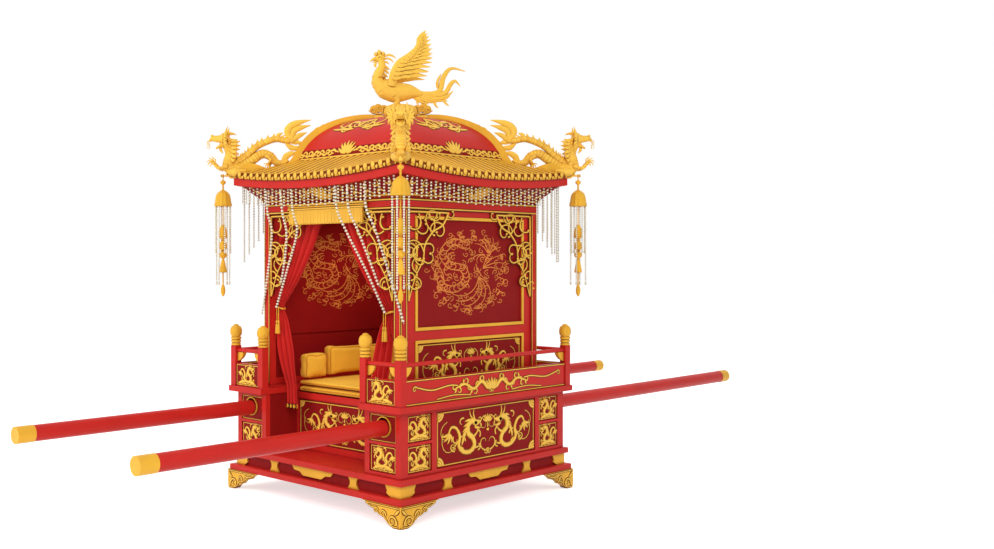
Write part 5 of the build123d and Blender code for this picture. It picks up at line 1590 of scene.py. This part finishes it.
class SEDAN_OT_roof(bpy.types.Operator):
    """Set the tile ends and carve the dome"""

    bl_idname = "sedan.roof"
    bl_label = "Roof"

    def execute(self, context):
        row = tile_row()
        shapes = [turned(row, 90 * turn, (0, MID_Y, 0)) for turn in range(4)]
        gild("tile_ends", shapes)
        drawing = dome_drawing()
        dome = [carve(drawing, dome_face(turn), rise=0.3, most=0.006) for turn in range(4)]
        gild("dome_carving", dome)
        strips = [(up, wide, turn) for up, wide in DOME_BANDS for turn in range(4)]
        bands = [slab(0, up, wide, 0.028, dome_face(turn), 0.001) for up, wide, turn in strips]
        darken("dome_band", bands)
        return {"FINISHED"}


class SEDAN_OT_dragons(bpy.types.Operator):
    """Sculpt the four dragons on the hips, each with the pin of its pendant"""

    bl_idname = "sedan.dragons"
    bl_label = "Dragons"

    def execute(self, context):
        ridge = [(0.19, 2.108), (0.14, 2.114), (0.085, 2.112)]
        ridge_head = limb(ridge, (0.036, 0.04, 0.034), (0.03, 0.034, 0.03))
        shapes = at_corners(merge([hip_dragon(), pin_and_hanger(), ridge_head]))
        gild("hip_dragons", shapes, replaces=("dragons",))
        return {"FINISHED"}


class SEDAN_OT_phoenix(bpy.types.Operator):
    """Sculpt the phoenix and the petals of its pedestal"""

    bl_idname = "sedan.phoenix"
    bl_label = "Phoenix"

    def execute(self, context):
        middle = (0, MID_Y, 0)
        perch = float(node_box("phoenix")[0, 2])
        bird = turned(shifted(phoenix_figure(), (0, MID_Y, perch)), 225, middle)
        gild("phoenix_figure", [bird], replaces=("phoenix",))
        petals = turned(shifted(crown_petals(), middle), 225, middle)
        gild("crown_petals", [petals])
        return {"FINISHED"}


PENDANT_PROFILE = (
    # radius, drop below the eye
    (0.003, 0.0105), (0.003, 0.023), (0.014, 0.03), (0.016, 0.036), (0.014, 0.043), (0.005, 0.051),
    (0.005, 0.078), (0.01, 0.081), (0.022, 0.089), (0.032, 0.098), (0.039, 0.111), (0.043, 0.13),
    (0.045, 0.149), (0.049, 0.162), (0.049, 0.172), (0.046, 0.1735), (0.04, 0.17), (0.006, 0.14),
    (0.003, 0.18), (0.003, 0.278), (0.012, 0.284), (0.014, 0.292), (0.018, 0.3), (0.023, 0.323),
    (0.025, 0.35), (0.022, 0.354), (0.008, 0.361), (0.006, 0.368), (0.012, 0.374), (0.02, 0.386),
    (0.022, 0.4), (0.02, 0.414), (0.012, 0.426), (0.005, 0.428), (0.013, 0.436), (0.022, 0.445),
    (0.022, 0.458), (0.013, 0.468), (0.005, 0.475), (0.009, 0.483), (0.014, 0.505), (0.022, 0.549),
    (0.018, 0.552), (0.004, 0.551), (0.004, 0.619), (0.009, 0.63), (0.013, 0.65), (0.012, 0.67),
    (0.004, 0.688),
)
# Radius of the pendant's circle of strings, drop to their first pearl, and to the foot of short and long
STRING_CIRCLE = 0.043
STRING_HEAD = 0.179
STRING_FEET = (0.42, 0.6)


def pendant_strings():
    """Eight strings of pearls under a bell's rim, long and short in turn, each with a thread and a drop."""
    pearl = ball(0.0054)
    strings = []
    for step in range(8):
        angle = radians(45 * step + 22.5)
        foot = STRING_FEET[step % 2]
        drop = np.arange(STRING_HEAD, foot, 0.0125)
        around = np.array([STRING_CIRCLE * np.cos(angle), STRING_CIRCLE * np.sin(angle)])
        place = (*around, 0)
        tear = [(0.001, -foot - 0.024), (0.006, -foot - 0.016), (0.003, -foot)]
        strings.append(copies(pearl, np.column_stack([np.tile(around, (len(drop), 1)), -drop])))
        strings.append(lathe([(0.001, -foot), (0.001, -0.17)], place, 5))
        strings.append(lathe(tear, place, 8))
    return merge(strings)


def pendant_bell():
    """Gilt bell and drops turned to one fluted profile, hung from a ring that is an ellipse swept round."""
    profile = [(radius, -drop) for radius, drop in PENDANT_PROFILE]
    ring = np.linspace(0, 2 * pi, 25)
    circle = np.stack([0 * ring, 0.0085 * np.cos(ring), 0.0085 * np.sin(ring)], axis=1)
    eye = sweep(circle, (1, 0, 0), 0.008, 0.005, 6)
    return merge([lathe(profile, columns=72, ribs=12, swell=0.035), eye])


class SEDAN_OT_pendants(bpy.types.Operator):
    """Turn the pendants' bells and drops and string their pearls"""

    bl_idname = "sedan.pendants"
    bl_label = "Pendants"

    def execute(self, context):
        strings = pendant_strings()
        bell = pendant_bell()
        for end, back in (("front", -1), ("rear", 1)):
            for side, right in (("left", -1), ("right", 1)):
                body = f"pendant_{end}_{side}"
                middle = node_box(body).mean(axis=0)
                hook = (middle[0], middle[1], context.scene.sedan_sizes.pin_height)
                turn = 45 * right * back
                drops = shifted(turned(bell, turn), hook)
                make_piece(f"{body}_bell", [drops], finish_named("Gilt"), body, (body,))
                pearls = shifted(turned(strings, turn), hook)
                make_piece(f"{body}_pearls", [pearls], finish_named("Pearl"), body, (body,))
        return {"FINISHED"}


# Where the long strands begin, the length of the first, and how much longer each is by its distance outward
LONG_FROM = 0.45
LONG_LENGTH = 0.22
LONG_GROWTH = 1.3
# Most beads on a strand
MOST_BEADS = 60
GARLANDS = (
    # across at the eave, across and height at the lower end
    (0.40, 0.575, 0.98),
    (0.27, 0.40, 1.16),
    (0.18, 0.44, 1.03),
)
GARLAND_BEAD = 0.0076
GARLAND_PITCH = 0.0185


def strand_lengths(turn, across):
    """Length of each strand on a side: short at the front and the near corner, longer toward the others."""
    sizes = bpy.context.scene.sedan_sizes
    away = {0: np.zeros_like(across), 1: across}.get(turn, np.abs(across))
    return np.where(away > LONG_FROM, LONG_LENGTH + LONG_GROWTH * (away - LONG_FROM), sizes.strand_length)


def garland(start, end, foot, sign):
    """Beads and thread along a smooth path from the eave to the curtain: even steps of its length."""
    path = through(
        [
            (sign * start, MID_Y - 0.658, 1.684),
            (sign * start, MID_Y - 0.645, 1.56),
            (sign * (start + 0.02), MID_Y - 0.6, 1.45),
            (sign * (start * 0.45 + end * 0.55), MID_Y - 0.57, (1.45 + foot) / 2),
            (sign * end, MID_Y - 0.552, foot),
        ],
        24,
    )
    run = np.concatenate([[0], np.cumsum(np.linalg.norm(np.diff(path, axis=0), axis=1))])
    at = np.arange(0.006, run[-1], GARLAND_PITCH)
    places = np.stack([np.interp(at, run, path[:, axis]) for axis in range(3)], axis=1)
    return [copies(ball(GARLAND_BEAD), places), sweep(path, (0, 1, 0), 0.002, 0.002, 4)]


class SEDAN_OT_beads(bpy.types.Operator):
    """String the bead fringe under the eave and the garlands over the curtains"""

    bl_idname = "sedan.beads"
    bl_label = "Beads"

    def execute(self, context):
        sizes = context.scene.sedan_sizes
        count = int(2 * (sizes.strand_reach - 0.02) / sizes.strand_pitch)
        across = (np.arange(count) - (count - 1) / 2) * sizes.strand_pitch
        top = sizes.fascia_foot + lift(across)
        bead = ball(sizes.bead, 4, 6)
        beads = []
        threads = []
        for turn in range(4):
            place = face(turn, sizes.strand_reach)
            length = strand_lengths(turn, across)
            x, down = np.meshgrid(across, (np.arange(MOST_BEADS) + 0.5) * sizes.bead_pitch, indexing="ij")
            down = down + (np.arange(count)[:, None] % 2) * sizes.bead_pitch / 2
            kept = down < length[:, None]
            flat = np.stack([x[kept], (top[:, None] - down)[kept], np.zeros(kept.sum())], axis=-1)
            beads.append(copies(bead, place(flat)))
            for spot, high, reach in zip(across, top, length):
                ends = np.array([(spot, high, 0), (spot, high - reach, 0)])
                threads.append(sweep(place(ends), (1, 1, 0), 0.0024, 0.0024, 4, 0.2))
        pearl = finish_named("Pearl")
        make_piece("bead_strands", beads, pearl, replaces=("bead_fringe",))
        gild("bead_threads", threads)
        chains = []
        for row in GARLANDS:
            for sign in (1, -1):
                chains += garland(*row, sign)
        make_piece("bead_garlands", chains, pearl)
        return {"FINISHED"}


# Edges of a curtain from the pelmet to the hem: across, height
CURTAIN_OUTER = (
    (0.5, 1.5567), (0.5, 1.3), (0.498, 1.14), (0.486, 1.07), (0.47, 1.031), (0.474, 0.95),
    (0.462, 0.8), (0.434, 0.7), (0.404, 0.63), (0.388, 0.59), (0.386, 0.53), (0.386, 0.47),
)
CURTAIN_INNER = (
    (0.06, 1.5567), (0.132, 1.40), (0.245, 1.23), (0.35, 1.11), (0.415, 1.031), (0.372, 0.95),
    (0.325, 0.8), (0.315, 0.7), (0.308, 0.63), (0.304, 0.59), (0.3, 0.53), (0.296, 0.47),
)
# Foot and head of the cloth and of its hem, and the height of the tie
CLOTH_SPAN = (0.472, 1.5567)
HEM_SPAN = (0.4705, 0.492)
TIE_HEIGHT = 1.031
TASSEL = (
    # radius, height from its cord's top
    (0.002, 0.0), (0.002, -0.07), (0.006, -0.075), (0.006, -0.085),
    (0.004, -0.09), (0.007, -0.095), (0.009, -0.145), (0.002, -0.146),
)


def curtain_edge(points, heights):
    """How far across a curtain's edge lies at each height, on the smooth line through its points."""
    edge = through(points, 8)[::-1]
    return np.interp(heights, edge[:, 1], edge[:, 0])


def curtain_grid(sign, low_z, high_z, rows, lead):
    """Gathered cloth: x runs between the curtain's two edges, pleats wave its depth by a cosine."""
    sizes = bpy.context.scene.sedan_sizes
    z = np.linspace(high_z, low_z, rows)
    left = curtain_edge(CURTAIN_INNER, z)
    width = curtain_edge(CURTAIN_OUTER, z) - left
    u = np.linspace(0, 1, sizes.pleats * 10 + 1)
    count = np.interp(z, (0.9, 1.15), (sizes.pleats * 0.45, sizes.pleats))[:, None]
    phase = 2 * pi * count * u[None, :] + 0.8 * np.sin(z * 5)[:, None]
    depth = np.clip(0.004 + width * 0.05, 0.006, 0.0115)
    x = left[:, None] + width[:, None] * (u[None, :] + 0.012 * np.sin(phase))
    y = MID_Y - 0.515 - depth[:, None] * np.cos(phase) - lead
    return np.stack([sign * x, y, np.broadcast_to(z[:, None], x.shape)], axis=-1)


def sheet_shape(front, thickness):
    """Closed thin sheet: a grid of points and the same grid moved back, joined along the edges."""
    back = front + (0, thickness, 0)
    rings = np.concatenate([front, back[:, ::-1]], axis=1)
    return skin(rings, 0.8)


def curtain_tie(sign):
    """Cord looped round the gathered cloth, and its two tassels."""
    ring = np.linspace(0, 2 * pi, 33)
    across = sign * (0.4475 + 0.031 * np.cos(ring))
    back = MID_Y - 0.5145 - 0.02 * np.sin(ring)
    loop = np.stack([across, back, TIE_HEIGHT + 0.008 * np.cos(ring)], axis=1)
    tassels = [lathe(TASSEL, (sign * x, MID_Y - 0.548, 1.03), 16, 8, 0.06) for x in (0.425, 0.44)]
    return [sweep(loop, (0, 0, 1), 0.01, 0.007, 8)] + tassels


class SEDAN_OT_curtains(bpy.types.Operator):
    """Hang the tied-back curtains with their hems, cords and tassels"""

    bl_idname = "sedan.curtains"
    bl_label = "Curtains"

    def execute(self, context):
        sizes = context.scene.sedan_sizes
        gilt = finish_named("Gilt")
        for side, sign in (("right", 1), ("left", -1)):
            grid = curtain_grid(sign, *CLOTH_SPAN, 70, 0)
            cloth = make_piece(
                f"curtain_cloth_{side}", [sheet_shape(grid, sizes.cloth)], finish_named("Red silk"),
                replaces=(f"curtain_{side}",),
            )
            edge = sheet_shape(curtain_grid(sign, *HEM_SPAN, 4, 0.0012), 0.004)
            hem = make_piece(f"curtain_hem_{side}", [edge], gilt)
            tie = make_piece(f"curtain_tie_{side}", curtain_tie(sign), gilt)
        return {"FINISHED"}


def piping(piece, axis, share):
    """Seam cord round a pad: its points near a level along an axis, ordered by angle and evened out."""
    points = points_of(piece.data).astype(float)
    low = points.min(axis=0)
    high = points.max(axis=0)
    level = low[axis] + share * (high[axis] - low[axis])
    near = points[np.abs(points[:, axis] - level) < 0.004]
    plane = [other for other in range(3) if other != axis]
    spoke = ((near - (low + high) / 2) / (high - low))[:, plane]
    ordered = near[np.argsort(np.arctan2(spoke[:, 1], spoke[:, 0]))]
    knots = ordered[np.linspace(0, len(ordered), 150, endpoint=False).astype(int)]
    path = (np.roll(knots, -2, axis=0) + np.roll(knots, -1, axis=0) + knots + np.roll(knots, 1, axis=0)) / 4
    path[:, axis] = level
    return sweep(np.vstack([path, path[:1]]), np.eye(3)[axis], 0.007, 0.007, 6, 0.5)


# Height of the lower seat cushion, and the gap between two cushions
LOWER_CUSHION = 0.0371
CUSHION_GAP = 0.0003
# Width of an arm, height of its front block, and how far forward of the cabin's middle block and rest part
ARM_WIDTH = 0.074
ARM_BLOCK = 0.154
ARM_PARTING = 0.263
# Where the two seam cords run, in shares of a cushion's thickness
SEAM_SHARES = (0.16, 0.84)


class SEDAN_OT_cushions(bpy.types.Operator):
    """Stuff the seat, back and arm cushions"""

    bl_idname = "sedan.cushions"
    bl_label = "Cushions"

    def execute(self, context):
        silk = finish_named("Yellow silk")
        low, high = node_box("seat_cushions")
        split = low[2] + LOWER_CUSHION
        lower = pad("seat_cushion_lower", low, (high[0], high[1], split), 0.003, 0.014, silk)
        upper = pad("seat_cushion_upper", (low[0], low[1], split + CUSHION_GAP), high, 0.003, 0.014, silk)
        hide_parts("seat_cushions")
        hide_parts("seat_cushions")
        cords = [piping(lower, 2, 0.5), piping(upper, 2, 0.5)]
        low, high = node_box("back_cushion")
        back = pad("back_pad", low, high, 0.014, 0.009, silk)
        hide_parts("back_cushion")
        cords += [piping(back, 1, share) for share in SEAM_SHARES]
        low, high = node_box("arm_cushions")
        parting = MID_Y - ARM_PARTING
        arms = (("left", low[0], low[0] + ARM_WIDTH), ("right", high[0] - ARM_WIDTH, high[0]))
        for side, left, right in arms:
            block_end = (right, parting - CUSHION_GAP, low[2] + ARM_BLOCK)
            block = pad(f"arm_block_{side}", (left, low[1], low[2]), block_end, 0.01, 0.006, silk)
            rest_end = (right, high[1], high[2])
            rest = pad(f"arm_pad_{side}", (left, parting, low[2]), rest_end, 0.011, 0.009, silk)
            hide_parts("arm_cushions")
            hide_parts("arm_cushions")
            cords += [piping(one, 0, share) for one in (block, rest) for share in SEAM_SHARES]
        make_piece("cushion_piping", cords, finish_named("Silk piping"))
        return {"FINISHED"}


LIGHTS = (
    # name, place, size, power
    ("Key", (5.5, -4.5, 5.0), 4.0, 260),
    ("Fill", (-3.5, -6.5, 3.5), 5.0, 210),
    ("Rim", (-2.0, 5.5, 5.0), 5.0, 160),
    ("Cabin", (0.0, MID_Y - 0.1, 1.54), 0.4, 4),
)
# The point that all lights face, and half the floor's width
LIT_POINT = np.array([0, MID_Y, 1.1])
FLOOR_HALF = 40.0
# The camera's distance along x and y from the cabin's middle, and its height
CAMERA_OUT = 4.348
CAMERA_UP = 1.299


def show_white(tree, socket, low, high):
    """Set a strength to high for rays from the camera and for mirror rays, and to low for all others."""
    seen = add_node(tree, "ShaderNodeLightPath")
    either = add_node(tree, "ShaderNodeMath", operation="MAXIMUM")
    strength = add_node(tree, "ShaderNodeMapRange", {"To Min": low, "To Max": high})
    wire(
        tree,
        (seen.outputs["Is Camera Ray"], either.inputs[0]),
        (seen.outputs["Is Glossy Ray"], either.inputs[1]),
        (either.outputs[0], strength.inputs["Value"]),
        (strength.outputs["Result"], socket),
    )


class SEDAN_OT_stage(bpy.types.Operator):
    """Set the floor, the soft light and the camera"""

    bl_idname = "sedan.stage"
    bl_label = "Stage"

    def execute(self, context):
        scene = context.scene
        scene.view_settings.view_transform = "Standard"
        world = bpy.data.worlds.new("Studio")
        world.use_nodes = True
        backdrop = world.node_tree.nodes["Background"]
        backdrop.inputs["Color"].default_value = (1, 1, 1, 1)
        show_white(world.node_tree, backdrop.inputs["Strength"], scene.sedan_sizes.sky, 1.0)
        scene.world = world
        mesh = bpy.data.meshes.new("studio_floor")
        corners = [(x * FLOOR_HALF, y * FLOOR_HALF, 0) for x, y in ((-1, -1), (1, -1), (1, 1), (-1, 1))]
        mesh.from_pydata(corners, [], [(0, 1, 2, 3)])
        pale = material("Studio floor", scene.sedan_colours.floor, 0.9, amount=0.0)
        shader = pale.node_tree.nodes["Principled BSDF"]
        shader.inputs["Emission Color"].default_value = (1, 1, 1, 1)
        show_white(pale.node_tree, shader.inputs["Emission Strength"], 0.0, scene.sedan_sizes.floor_glow)
        mesh.materials.append(pale)
        floor = new_object("studio_floor", mesh)
        floor.location.z = -0.001
        for name, place, size, power in LIGHTS:
            lamp = bpy.data.lights.new(name, "AREA")
            lamp.shape = "DISK"
            lamp.size = size
            lamp.energy = power
            holder = new_object(name, lamp)
            holder.location = place
            aim = LIT_POINT - np.array(place)
            holder.rotation_euler = (
                float(np.arccos(-aim[2] / np.linalg.norm(aim))), 0, float(np.arctan2(-aim[0], aim[1]))
            )
            holder.visible_camera = False
            holder.visible_glossy = False
        lens = bpy.data.cameras.new("Camera")
        lens.sensor_width = 36
        lens.lens = 38.93
        lens.shift_x = 0.097
        lens.shift_y = -0.0146
        camera = new_object("Camera", lens)
        camera.location = (CAMERA_OUT, MID_Y - CAMERA_OUT, CAMERA_UP)
        camera.rotation_euler = (pi / 2, 0, pi / 4)
        scene.camera = camera
        return {"FINISHED"}


BUILDERS = (
    SEDAN_OT_finishes,
    SEDAN_OT_base,
    SEDAN_OT_panels,
    SEDAN_OT_railing,
    SEDAN_OT_walls,
    SEDAN_OT_spandrels,
    SEDAN_OT_head,
    SEDAN_OT_roof,
    SEDAN_OT_dragons,
    SEDAN_OT_phoenix,
    SEDAN_OT_pendants,
    SEDAN_OT_beads,
    SEDAN_OT_curtains,
    SEDAN_OT_cushions,
    SEDAN_OT_stage,
)


class SEDAN_PT_builders(bpy.types.Panel):
    """Sidebar list of the builders"""

    bl_idname = "SEDAN_PT_builders"
    bl_label = "Sedan chair"
    bl_space_type = "VIEW_3D"
    bl_region_type = "UI"
    bl_category = "Sedan chair"

    def draw(self, context):
        for builder in BUILDERS:
            self.layout.operator(builder.bl_idname)


CLASSES = (SedanSizes, SedanColours) + BUILDERS + (SEDAN_PT_builders,)


def register():
    """Register the classes and hang the settings on the scene."""
    for one in CLASSES:
        bpy.utils.register_class(one)
    bpy.types.Scene.sedan_sizes = PointerProperty(type=SedanSizes)
    bpy.types.Scene.sedan_colours = PointerProperty(type=SedanColours)


def unregister():
    """Take the settings off the scene and unregister the classes."""
    del bpy.types.Scene.sedan_colours
    del bpy.types.Scene.sedan_sizes
    for one in reversed(CLASSES):
        bpy.utils.unregister_class(one)


def main():
    """Build every piece in order."""
    register()
    for builder in BUILDERS:
        group, name = builder.bl_idname.split(".")
        getattr(getattr(bpy.ops, group), name)()


if __name__ == "__main__":
    main()
